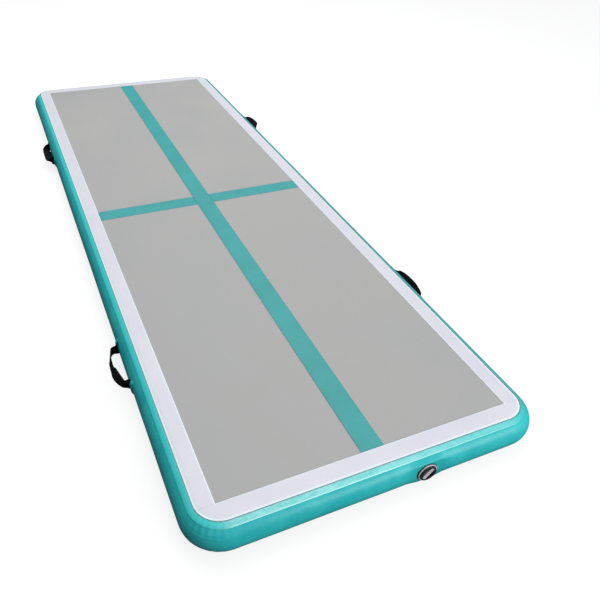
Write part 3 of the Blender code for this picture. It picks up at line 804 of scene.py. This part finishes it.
def taped_section(first, last):
    """A tape on the half circle between two angles, its edges pressed thin."""
    thin = BULGE - SHEET * 0.55
    pressed = EDGE_ROUND / BULGE
    band = EDGE_BAND / BULGE
    section = [arc_point(thin, first), arc_point(BULGE, first - pressed), arc_point(BULGE, first - band)]
    section += arc_points(BULGE, first, last, TAPE_STEPS)[2:-2]
    section += [arc_point(BULGE, last + band), arc_point(BULGE, last + pressed), arc_point(thin, last)]
    return section + arc_points(BULGE - SHEET, last, first, TAPE_STEPS)


def make_tapes(material, wall):
    first = math.acos((BORDER_OUT + GAP * 2) / BULGE)
    last = math.acos(UPPER_TAPE_OUT / BULGE)
    upper = sweep_ring("seam_tape_upper", taped_section(first, last), material)

    # Painted reflection: strong near both ends, fading to half towards the right, and gone at the side
    # corners.
    def painted_reflection(co):
        ends = ramp(abs(co.y), FLAT_Y - 0.01, 0.012)
        reflection_fade = 1.0 - 0.5 * ramp(co.x, -0.05, 0.4)
        return ends * reflection_fade * ramp(-abs(co.x), 0.005 - FLAT_X, 0.07)

    # Painted highlight: a thin light line along the tape's lower edge, where the painted reflection is.
    def lower_edge(co):
        out = outline_place(co.x, co.y)[0]
        return ramp(out, UPPER_TAPE_OUT - 0.0032, 0.0012) * painted_reflection(co) ** 3

    # Painted shade: a thin dark line along the tape's upper edge, at the seam with the border.
    def upper_edge(co):
        return 1.0 - ramp(outline_place(co.x, co.y)[0], BORDER_OUT + 0.0008, 0.0012)

    paint(upper, "painted_reflection", painted_reflection)
    paint(upper, "painted_highlight", lower_edge)
    paint(upper, "edge", upper_edge)
    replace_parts(upper, "upper_seam_tape")
    first = -math.acos(LOWER_TAPE_OUT / BULGE)
    last = -math.acos(LOWER_TAPE_INNER / BULGE)
    lower = sweep_ring("seam_tape_lower", taped_section(first, last), wall)
    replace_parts(lower, "lower_seam_tape")
    return upper, lower


# White border and lines


def border_section():
    """(share of the way from the panel to the flat's edge, out, z) across the strip, top side."""
    section = [(0.0, 0.0, SURFACE_Z - EDGE_DROP)]
    section += [(share, 0.0, SURFACE_Z) for share in (0.014, 0.08, 0.12, 0.35, 0.6, 0.85)]
    for out in (0.0, 0.003, 0.006, 0.0078, 0.0088, 0.0104, 0.0112, BORDER_OUT):
        section.append((1.0, out, MID_Z + math.sqrt(BULGE ** 2 - out ** 2)))
    share, out, z = section.pop()
    return section + [(share, out, z - EDGE_ROUND * 0.4)]


def border_frame(name, material):
    """The whole white frame, square inside and rounded outside, bent down over the wall's edge."""
    stations = ring_stations()
    upper = border_section()
    reach = (BULGE - SHEET) / BULGE
    vertices = []
    for point, direction in stations:
        inner = Vector((max(-PANEL_X, min(PANEL_X, point.x)), max(-PANEL_Y, min(PANEL_Y, point.y))))
        for layer, order in ((0, upper), (1, upper[::-1])):
            for share, out, z in order:
                place = inner + (point - inner) * share + out * direction
                if layer and share < 1:
                    z = SURFACE_Z - SHEET
                elif layer:
                    place = point + out * reach * direction
                    z = MID_Z + (z - MID_Z) * reach
                vertices.append(settle(place.x, place.y, z))
    faces = tube_faces(len(stations), 2 * len(upper), ring_closed=True)
    return mesh_piece(name, vertices, faces, material, merge=MERGE)


def keep_side(piece, place, direction):
    """Cut a closed mesh at a plane, keep the side that direction points away from, and cap it."""
    bm = bmesh.new()
    bm.from_mesh(piece.data)
    geometry = bm.verts[:] + bm.edges[:] + bm.faces[:]
    cut = bmesh.ops.bisect_plane(
        bm, geom=geometry, plane_co=place, plane_no=direction, dist=CUT_SNAP, clear_outer=True
    )
    edges = [item for item in cut["geom_cut"] if isinstance(item, bmesh.types.BMEdge)]
    bmesh.ops.holes_fill(bm, edges=edges)
    bmesh.ops.recalc_face_normals(bm, faces=bm.faces)
    bm.to_mesh(piece.data)
    bm.free()


def border_edges(piece):
    """Mark the painted highlight bands along both edges, and the thin painted shade line at the outer edge.
    """

    def painted_highlight(co):
        # Painted highlight: full along the outer edge, weaker at the near end, and fainter along the inner
        # edge.
        outer = ramp(outline_place(co.x, co.y)[0], 0.0068, 0.0022) * (1.0 - 0.4 * ramp(-co.y, 1.44, 0.02))
        inner = 1.0 - ramp(max(abs(co.x) - PANEL_X, abs(co.y) - PANEL_Y), 0.0022, 0.0016)
        return max(outer, 0.55 * inner)

    def edge(co):
        # Painted shade line at the outer edge.
        return ramp(outline_place(co.x, co.y)[0], BORDER_OUT - 0.0009, 0.0008)

    paint(piece, "painted_highlight", painted_highlight)
    paint(piece, "edge", edge)


def make_border(material):
    cuts = {
        "border_near": [((0, -PANEL_Y - GAP / 2, 0), (0, 1, 0))],
        "border_far": [((0, PANEL_Y + GAP / 2, 0), (0, -1, 0))],
        "border_left": [((0, 0, 0), (1, 0, 0))],
        "border_right": [((0, 0, 0), (-1, 0, 0))],
    }
    for name in ("border_left", "border_right"):
        cuts[name] += [((0, -PANEL_Y, 0), (0, -1, 0)), ((0, PANEL_Y, 0), (0, 1, 0))]
    strips = []
    for name, planes in cuts.items():
        strip = border_frame(name, material)
        for place, direction in planes:
            keep_side(strip, place, direction)
        border_edges(strip)
        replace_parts(strip, name.replace("border_", "border_strip_"))
        strips.append(strip)
    return strips


def make_lines(material):
    strips = []
    for node in ("centre_line", "cross_line_left", "cross_line_right"):
        low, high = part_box(node)
        centre = (low + high) / 2
        xs = [centre.x + place for place in axis_places((high.x - low.x) / 2, EDGE_BAND)]
        ys = [centre.y + place for place in axis_places((high.y - low.y) / 2, EDGE_BAND)]
        strip = plate(node + "_strip", xs, ys, high.z, high.z - low.z, material, settle)

        def edge(co, low=low, high=high):
            inside = min(co.x - low.x, high.x - co.x, co.y - low.y, high.y - co.y)
            return 1.0 - ramp(inside, 0.0002, 0.0012)

        paint(strip, "edge", edge)
        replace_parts(strip, node)
        strips.append(strip)
    return strips


# Handles


def strap_line(lay, loop_power):
    """Centre line of half the strap, from its sewn end to the middle of the grip: (along, out) points."""
    loop_half = LOOP_HALF * lay["half"]
    rest = BULGE + GAP + STRAP / 2
    root = BULGE + PIVOT_OFF
    points = []
    for step in range(TAB_STEPS):
        points.append((TAB_END + (TAB_RISE - TAB_END) * step / TAB_STEPS, rest))
    corners = [
        Vector((TAB_RISE, rest)),
        Vector((TAB_RISE - BEND_IN, rest)),
        Vector((loop_half, rest + BEND_LIFT)),
        Vector((loop_half, root)),
    ]
    for step in range(RISE_STEPS):
        share = step / RISE_STEPS
        weights = ((1 - share) ** 3, 3 * share * (1 - share) ** 2, 3 * share ** 2 * (1 - share), share ** 3)
        place = sum((corner * weight for corner, weight in zip(corners, weights)), Vector((0.0, 0.0)))
        points.append((place.x, place.y))
    power = 2 / loop_power
    for step in range(LOOP_STEPS // 2 + 1):
        turn = math.pi / 2 * step / (LOOP_STEPS // 2)
        along = loop_half * math.cos(turn) ** power if step < LOOP_STEPS // 2 else 0.0
        points.append((along, root + LOOP_REACH * lay["reach"] * math.sin(turn) ** power))
    return points


def strap_size(along, out, fold):
    """(width, thickness, how far it is folded) of the strap at a place."""
    if out <= BULGE + PIVOT_OFF:
        rise = smoothstep((out - BULGE - GAP - STRAP / 2) / (PIVOT_OFF - STRAP))
        return (STRAP_WIDTH + (ROOT_WIDTH - STRAP_WIDTH) * rise, STRAP, 0.0)
    share = abs(along) / LOOP_HALF
    shoulder = smoothstep((1.0 - share) / 0.12)
    width = ROOT_WIDTH + (SHOULDER_WIDTH - ROOT_WIDTH) * shoulder
    signed = along / LOOP_HALF
    folded = smoothstep((signed - fold[0]) / FOLD_RUN) * smoothstep((fold[1] - signed) / FOLD_RUN)
    width += (GRIP_WIDTH - width) * folded
    return (width, STRAP + (GRIP_THICKNESS - STRAP) * folded, folded)


def strap_section(width, thickness, folded):
    """Closed outline (across, lift) of the strap: rounded edges, and a groove where the fold is open."""
    half = width / 2
    lift = thickness / 2
    outline = []
    for side in (1, -1):
        for step in range(SECTION_STEPS + 1):
            across = side * (half - lift * 0.6) * (1 - 2 * step / SECTION_STEPS)
            outline.append((across, side * lift))
        if side == 1:
            outline += [(-half, lift * 0.45), (-half + 0.004 * folded, 0.0), (-half, -lift * 0.45)]
    return outline + [(half, -lift * 0.5), (half, lift * 0.5)]


def strap_normal(before, after, along):
    """Unit normal of the centre line, pointing out of the loop."""
    tangent = (after - before).normalized()
    normal = Vector((-tangent.y, tangent.x))
    if normal.y < 0 and abs(normal.y) > 0.01 or normal.dot(Vector((along, 1.0))) < 0:
        return -normal
    return normal


def strap_tilt(along, free, lay):
    near_lean, far_lean = lay["lean"]
    far_share = smoothstep(along / LOOP_HALF / 2 + 0.5)
    return free * (near_lean + (far_lean - near_lean) * far_share)


def make_strap(label, side, centre_y, material, lay):
    """One strap from sewn end to sewn end. "free" is how far a place is out of the reach of its ends."""
    near_power, far_power = lay["power"]
    line = strap_line(lay, far_power)
    line += [(-along, out) for along, out in strap_line(lay, near_power)[-2::-1]]
    vertices = []
    travelled = 0.0
    places = []
    for index, (along, out) in enumerate(line):
        before = Vector(line[max(index - 1, 0)])
        after = Vector(line[min(index + 1, len(line) - 1)])
        travelled += (Vector((along, out)) - before).length if index else 0.0
        normal = strap_normal(before, after, along)
        width, thickness, folded = strap_size(along, out, lay["fold"])
        section = strap_section(width, thickness, folded)
        free = ramp(out, BULGE + PIVOT_OFF, LOOP_REACH * lay["reach"])
        tilt = strap_tilt(along, free, lay)
        wrap = 1.0 - ramp(out, BULGE + 0.002, 0.006)
        on_wall = out < BULGE + PIVOT_OFF / 2
        for across, lift in section:
            up = across * math.cos(tilt)
            push = -across * math.sin(tilt)
            sag = wrap * (out - math.sqrt(max(out ** 2 - up ** 2, 0.0)))
            y = centre_y + along + normal.x * lift
            x = FLAT_X + out + normal.y * lift + push - sag
            z = MID_Z + up + lay["lift"] * free
            vertices.append(settle(side * x, y, z) if on_wall else (side * x, y, z))
            places.append((travelled, across, 0.0))
    faces = tube_faces(len(line), len(section), closed_ends=True)
    strap = mesh_piece("handle_strap_" + label, vertices, faces, material)
    layer = strap.data.attributes.new("strap_place", "FLOAT_VECTOR", "POINT")
    for index, place in enumerate(places):
        layer.data[index].vector = place
    return strap


def curved_patch(name, side, centre_y, ys, half_height, radius, material, drape=None):
    """A sheet glued round the wall's half circle, with rounded corners and thin edges."""
    steps = max(8, round((ys[1] - ys[0]) / PATCH_STEP))
    half = (ys[1] - ys[0]) / 2
    middle = (ys[0] + ys[1]) / 2
    vertices = []
    for layer in range(2):
        for row in range(steps + 1):
            v = (2 * row / steps - 1) * half
            for column in range(PATCH_STEPS + 1):
                u = (2 * column / PATCH_STEPS - 1) * half_height
                y, z = rounded_rectangle(v, u, half, half_height, PATCH_CORNER)
                is_rim = row in (0, steps) or column in (0, PATCH_STEPS)
                lift = SHEET * (THIN_RIM if is_rim else 1.0) if layer else 0.0
                base = radius + drape(y + middle, z) if drape else radius
                out, height = arc_point(base + lift, z / BULGE)
                vertices.append(settle(side * (FLAT_X + out), centre_y + y + middle, height))
    return mesh_piece(name, vertices, grid_faces(PATCH_STEPS + 1, steps + 1), material)


def rounded_rectangle(y, z, half_y, half_z, corner):
    """Pull a point of a rectangle in, so that the rectangle's corners are rounded."""
    far_y = abs(y) - (half_y - corner)
    far_z = abs(z) - (half_z - corner)
    if far_y > 0 and far_z > 0:
        distance = math.hypot(far_y, far_z)
        square = max(far_y, far_z)
        far_y *= square / distance
        far_z *= square / distance
        y = math.copysign(half_y - corner + far_y, y)
        z = math.copysign(half_z - corner + far_z, z)
    return y, z


def add_stitch(place, direction, lift, vertices, faces):
    """One stitch: a short thread with rounded ends."""
    side = direction.cross(lift).normalized()
    base = len(vertices)
    for share, size in ((-0.5, 0.35), (-0.3, 1.0), (0.3, 1.0), (0.5, 0.35)):
        for corner in range(THREAD_SIDES):
            angle = 2 * math.pi * corner / THREAD_SIDES
            offset = side * math.cos(angle) + lift * math.sin(angle)
            vertices.append(place + direction * STITCH_LENGTH * share + offset * STITCH_RADIUS * size)
    for face in tube_faces(4, THREAD_SIDES, closed_ends=True):
        faces.append(tuple(base + index for index in face))


def make_stitches(label, side, centre_y, material):
    """Two rows of stitches round each sewn end."""
    vertices = []
    faces = []
    radius = BULGE + GAP + STRAP + GAP + SHEET + 0.0001
    for end in (1, -1):
        middle = end * (TAB_RISE + TAB_END + 0.001) / 2
        for inset in STITCH_ROWS:
            loop = rectangle_stitches(STITCH_HALF_Y - inset, STITCH_HALF_Z - inset, STITCH_PITCH)
            for y, z, along_y in loop:
                angle = z / BULGE
                lift = Vector((side * math.cos(angle), 0.0, math.sin(angle)))
                upward = Vector((-side * math.sin(angle), 0.0, math.cos(angle)))
                direction = Vector((0.0, 1.0, 0.0)) if along_y else upward
                place = Vector((side * FLAT_X, centre_y + middle + y, MID_Z)) + lift * radius
                add_stitch(Vector(settle(*place)), direction, lift, vertices, faces)
    return mesh_piece("handle_stitches_" + label, vertices, faces, material)


def rectangle_stitches(half_y, half_z, pitch):
    """(y, z, runs along y) of stitches round a rectangle."""
    places = []
    count = max(1, round(2 * half_y / pitch))
    for index in range(count):
        y = -half_y + 2 * half_y * (index + 0.5) / count
        places += [(y, half_z, True), (y, -half_z, True)]
    count = max(1, round(2 * half_z / pitch))
    for index in range(count):
        z = -half_z + 2 * half_z * (index + 0.5) / count
        places += [(half_y, z, False), (-half_y, z, False)]
    return places


def make_handles(webbing, wall, thread):
    patches = []
    for label, lay in HANDLE_LAYS.items():
        low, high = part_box("handle_grip_" + label)
        side = 1 if low.x > 0 else -1
        centre_y = (low.y + high.y) / 2
        strap = make_strap(label, side, centre_y, webbing, lay)
        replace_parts(strap, "handle_grip_" + label, "strap_tab_far_" + label, "strap_tab_near_" + label)
        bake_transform(strap)
        low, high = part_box("handle_patch_" + label)
        half = (high.y - low.y) / 2
        half_height = math.asin((high.z - low.z) / 2 / BULGE) * BULGE
        name = "handle_patch_" + label + "_pvc"
        patch = curved_patch(name, side, centre_y, (-half, half), half_height, BULGE - SHEET, wall)
        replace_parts(patch, "handle_patch_" + label)
        patches.append(patch)
        for word, end_sign in (("far", 1), ("near", -1)):
            cover = word + "_" + label
            patches.append(make_cover(cover, side, centre_y, end_sign, half, half_height, wall))
        patches.append(make_stitches(label, side, centre_y, thread))
    return patches


def make_cover(label, side, centre_y, end, patch_half, half_height, material):
    """A patch of wall material welded over the strap's end, draped over the strap's edges."""
    inner = TAB_RISE + 0.0005
    outer = patch_half - 0.001
    ys = sorted((end * inner, end * outer))

    def drape(y, z):
        past_end = ramp(abs(y), TAB_END + DRAPE_GAP, 0.003)
        past_side = ramp(abs(z), STRAP_WIDTH / 2 + DRAPE_GAP, 0.0028)
        return (STRAP + GAP) * (1 - past_end) * (1 - past_side)

    name = "cover_over_strap_" + label
    cover = curved_patch(name, side, centre_y, ys, half_height - DRAPE_GAP, BULGE + GAP, material, drape)
    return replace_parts(cover, "strap_cover_" + label)


# Valve


def turned(name, profile, material, steps=96, notches=0, notch_depth=0.0, notched=()):
    """Turn a closed profile of (radius, out) points round the valve's axis."""
    vertices = []
    faces = []
    rings = []
    for index, (radius, out) in enumerate(profile):
        y = -(FLAT_Y + out)
        if radius == 0:
            rings.append([len(vertices)] * steps)
            vertices.append((VALVE_X, y, MID_Z))
            continue
        rings.append(list(range(len(vertices), len(vertices) + steps)))
        for step in range(steps):
            angle = 2 * math.pi * step / steps
            reach = radius
            if index in notched:
                reach -= notch_depth * smoothstep(math.sin(notches * angle) * 2)
            vertices.append((VALVE_X + reach * math.cos(angle), y, MID_Z + reach * math.sin(angle)))
    for index, ring in enumerate(rings):
        other = rings[(index + 1) % len(rings)]
        if ring[0] == ring[1] and other[0] == other[1]:
            continue
        for step in range(steps):
            after = (step + 1) % steps
            corners = []
            for corner in (ring[step], ring[after], other[after], other[step]):
                if corner not in corners:
                    corners.append(corner)
            faces.append(tuple(corners))
    return mesh_piece(name, vertices, faces, material, sharp_degrees=50)


def rounded(profile, size, steps=3):
    """Round each corner of a closed profile by size, where it fits."""
    points = [Vector(point) for point in profile]
    result = []
    for index, point in enumerate(points):
        before = points[index - 1]
        after = points[(index + 1) % len(points)]
        if point.x == 0:
            result.append(tuple(point))
            continue
        room = min((before - point).length, (after - point).length) * 0.4
        cut = min(size, room)
        first = point + (before - point).normalized() * cut
        last = point + (after - point).normalized() * cut
        for step in range(steps + 1):
            share = step / steps
            place = first * (1 - share) ** 2 + point * 2 * share * (1 - share) + last * share ** 2
            result.append(tuple(place))
    return result


def bar_piece(name, length, width, back, front, turn, bevel, material):
    """A bar across the valve's axis with rounded long edges, from -length to length."""
    half = width / 2
    section = rounded([(-half, back), (half, back), (half, front), (-half, front)], bevel)
    vertices = []
    for reach in (-length, length):
        for across, out in section:
            x = reach * math.cos(turn) - across * math.sin(turn)
            z = reach * math.sin(turn) + across * math.cos(turn)
            vertices.append((VALVE_X + x, -(FLAT_Y + out), MID_Z + z))
    return mesh_piece(name, vertices, tube_faces(2, len(section), closed_ends=True), material)


def join(target, *others):
    """Join pieces into target, keeping each one's material."""
    bm = bmesh.new()
    bm.from_mesh(target.data)
    for other in others:
        material = other.data.materials[0]
        if material.name not in target.data.materials:
            target.data.materials.append(material)
        slot = target.data.materials.find(material.name)
        start = len(bm.faces)
        bm.from_mesh(other.data)
        bm.faces.ensure_lookup_table()
        for face in bm.faces[start:]:
            face.material_index = slot
        bpy.data.objects.remove(other)
    bm.to_mesh(target.data)
    bm.free()
    return target


def tube_profile(inner, outer, back, front):
    return [(inner, back), (outer, back), (outer, front), (inner, front)]


def make_valve(light, dark):
    front = -FLAT_Y - VALVE_LOW.y
    flange_radius = (VALVE_HIGH.x - VALVE_LOW.x) / 2
    back = SEAT_OUT + GAP
    mouth_back = front - RING_DEPTH
    profile = [(BARREL_RADIUS, back), (flange_radius, back), (flange_radius, front - 0.0028)]
    profile += [(RING_RADIUS, front - 0.0016), (RING_RADIUS, mouth_back), (THROAT_RADIUS, mouth_back)]
    profile += [(THROAT_RADIUS, SPIDER_FRONT), (SPIDER_RADIUS, SPIDER_FRONT)]
    profile += [(SPIDER_RADIUS, SPIDER_BACK), (BARREL_RADIUS, SPIDER_BACK)]
    body = turned("valve_housing", rounded(profile, 0.0009), dark)
    profile = tube_profile(MOUTH_RADIUS, RING_RADIUS + 0.0002, mouth_back - 0.0002, front)
    light_ring = turned("light_ring", rounded(profile, 0.0011), light)
    hub = turned("hub", tube_profile(*HUB_RADII, SPIDER_FRONT, HUB_FRONT), light, 48)
    arms = [spider_arm(2 * math.pi * index / 3 + math.pi / 2, light) for index in range(3)]
    join(body, light_ring, hub, *arms)
    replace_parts(body, "valve_body")
    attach(body, "root")
    make_cap(light, dark)
    low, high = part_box("cap_swivel_ring")
    profile = tube_profile(SWIVEL_RADIUS, (high.x - low.x) / 2, -FLAT_Y - high.y, -FLAT_Y - low.y)
    ring = turned("swivel_ring", rounded(profile, 0.0004), dark)
    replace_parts(ring, "cap_swivel_ring")
    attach(ring, "cap_carrier")


def spider_arm(angle, material):
    arm = bar_piece("spider_arm", 0.0075, 0.003, 0.0223, 0.0247, angle, 0.0004, material)
    offset = (ARM_MIDDLE * math.cos(angle), 0.0, ARM_MIDDLE * math.sin(angle))
    arm.data.transform(Matrix.Translation(offset))
    return arm


def make_cap(light, dark):
    """A scalloped rim round a dark cup, with a light bar across the cup to turn the cap by."""
    low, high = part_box("valve_cap")
    back = -FLAT_Y - high.y
    front = -FLAT_Y - low.y
    rim = (high.x - low.x) / 2
    step = CAP_RIM_BACK + 0.0012
    profile = [(CAP_RIM_INNER, CAP_RIM_BACK), (rim, CAP_RIM_BACK), (rim, front), (CAP_MOUTH, front)]
    profile += [(CAP_MOUTH, step), (CAP_RIM_INNER, step)]
    rim_piece = turned("cap_rim", rounded(profile, 0.0005), dark, 120, 30, 0.0006, range(4, 12))
    inner = step - 0.0001
    profile = [(0.0, back), (CAP_CUP_RADIUS, back), (CAP_CUP_RADIUS, CAP_RIM_BACK + 0.0001)]
    floor = back + 0.0018
    profile += [(CAP_RECESS + 0.001, inner), (CAP_RECESS, inner), (CAP_RECESS, floor), (0.0, floor)]
    cup = turned("cap_cup", profile, dark)
    turn = math.radians(CAP_TURN)
    top = front - GAP
    bar = bar_piece("cap_bar", CAP_RECESS + 0.0003, 0.0122, back + 0.0009, top, turn, 0.0018, light)
    head = bar_piece("cap_bar_head", CAP_MOUTH + 0.0003, 0.0126, step + 0.0001, top, turn, 0.0004, light)
    cap = join(rim_piece, cup, bar, head)
    cap.name = "cap_with_grip_bar"
    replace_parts(cap, "valve_cap")
    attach(cap, "cap")


def make_spring(material):
    """A round-wire helix between the spider and the pin's head."""
    low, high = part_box("valve_spring")
    wire = SPRING_WIRE
    radius = (high.x - low.x) / 2 - wire
    steps = SPRING_TURNS * SPRING_STEPS
    vertices = []
    for step in range(steps + 1):
        angle = 2 * math.pi * SPRING_TURNS * step / steps
        radial = Vector((math.cos(angle), 0.0, math.sin(angle)))
        y = high.y - wire + (low.y - high.y + 2 * wire) * step / steps
        centre = Vector((VALVE_X, y, MID_Z)) + radial * radius
        for side in range(WIRE_SIDES):
            turn = 2 * math.pi * side / WIRE_SIDES
            vertices.append(centre + wire * (radial * math.cos(turn) + Vector((0.0, math.sin(turn), 0.0))))
    faces = tube_faces(steps + 1, WIRE_SIDES, closed_ends=True)
    spring = mesh_piece("return_spring", vertices, faces, material)
    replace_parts(spring, "valve_spring")
    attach(spring, "root")
    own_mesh(spring)


def finish_nodes(finishes):
    """Give the CAD nodes that stay in view their materials."""
    for name, material in finishes.items():
        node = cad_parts[name]
        node.data.materials.clear()
        node.data.materials.append(material)


# Stage, lights and camera


def make_floor():
    look = Look("floor_paper", (0.22, 0.22, 0.22), 0.9, specular=0.0)
    look.set("Emission Color", (1.0, 1.0, 1.0, 1.0))
    look.set("Emission Strength", FLOOR_GLOW)
    corners = [(x * FLOOR_HALF, y * FLOOR_HALF, FLOOR_Z) for x, y in ((-1, -1), (1, -1), (1, 1), (-1, 1))]
    floor = mesh_piece("studio_floor", corners, [(0, 1, 2, 3)], look.material, smooth=False)
    floor.visible_diffuse = False
    floor.visible_glossy = False


def area_light(name, place, target, size, power):
    data = bpy.data.lights.new(name, "AREA")
    data.shape = "RECTANGLE"
    data.size, data.size_y = size
    data.energy = power
    light = bpy.data.objects.new(name, data)
    light.location = place
    light.rotation_euler = (Vector(target) - Vector(place)).to_track_quat("-Z", "Y").to_euler()
    bpy.context.scene.collection.objects.link(light)


def make_lights():
    """A pale sky, brightest overhead and darker towards the far left, with two lamps."""
    world = bpy.data.worlds.new("studio")
    bpy.context.scene.world = world
    world.use_nodes = True
    sky = Nodes(world.node_tree)
    direction = sky.add("TexCoord", "Generated", {})
    parts = [sky.times(sky.along(direction, axis), share) for axis, share in SKY_SHARES.items()]
    lit = sky.remap(sky.plus(sky.plus(parts[0], parts[1]), parts[2]), 0.0, 0.85)
    background = world.node_tree.nodes["Background"]
    sky.drive(background.inputs["Color"], sky.mix(lit, SKY_DARK, SKY_BRIGHT))
    sky.drive(background.inputs["Strength"], SKY_STRENGTH)
    for name, lamp in LAMPS.items():
        area_light(name, *lamp)


def make_camera():
    data = bpy.data.cameras.new("camera")
    data.sensor_width = SENSOR
    data.lens = LENS
    data.clip_start, data.clip_end = CAMERA_REACH
    camera = bpy.data.objects.new("camera", data)
    level = math.cos(CAMERA_PITCH)
    forward = Vector((math.sin(CAMERA_YAW) * level, math.cos(CAMERA_YAW) * level, -math.sin(CAMERA_PITCH)))
    right = Vector((math.cos(CAMERA_YAW), -math.sin(CAMERA_YAW), 0.0))
    up = right.cross(forward)
    cosine = math.cos(CAMERA_ROLL)
    sine = math.sin(CAMERA_ROLL)
    rolled_right = right * cosine + up * sine
    rolled_up = up * cosine - right * sine
    columns = (rolled_right, rolled_up, -forward)
    turn = Matrix([[column[row] for column in columns] for row in range(3)]).to_4x4()
    camera.matrix_world = Matrix.Translation(CAMERA_PLACE) @ turn
    bpy.context.scene.collection.objects.link(camera)
    bpy.context.scene.camera = camera


def ride_all(pieces):
    for piece in pieces:
        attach(piece, "root")


def main():
    bpy.context.scene.view_settings.view_transform = "Standard"
    panel = panel_material()
    base = base_material()
    wall = wall_material()
    light = plastic_material("valve_plastic", (0.58, 0.58, 0.58), 0.3)
    dark = plastic_material("valve_plastic_dark", (0.018, 0.019, 0.021), 0.35)
    rubber = rubber_material()
    thread = thread_material()
    top, under = make_skins(panel, base)
    side = make_side_wall(wall)
    upper, lower = make_tapes(tape_material(), wall)
    strips = make_border(border_material())
    lines = make_lines(line_material())
    patches = make_handles(webbing_material(), wall, thread)
    ride_all([top])
    ride_all([under])
    ride_all([side])
    ride_all([upper, lower])
    ride_all(strips)
    ride_all(lines)
    ride_all(patches)
    make_valve(light, dark)
    make_spring(steel_material())
    finish_nodes({
        "drop_stitch_core": yarn_material(),
        "valve_reinforcing_patch": base,
        "valve_gasket": rubber,
        "valve_nut": light,
        "valve_seal_disc": rubber,
        "valve_pin": light,
        "cap_seal": rubber,
    })
    make_floor()
    make_lights()
    make_camera()


main()
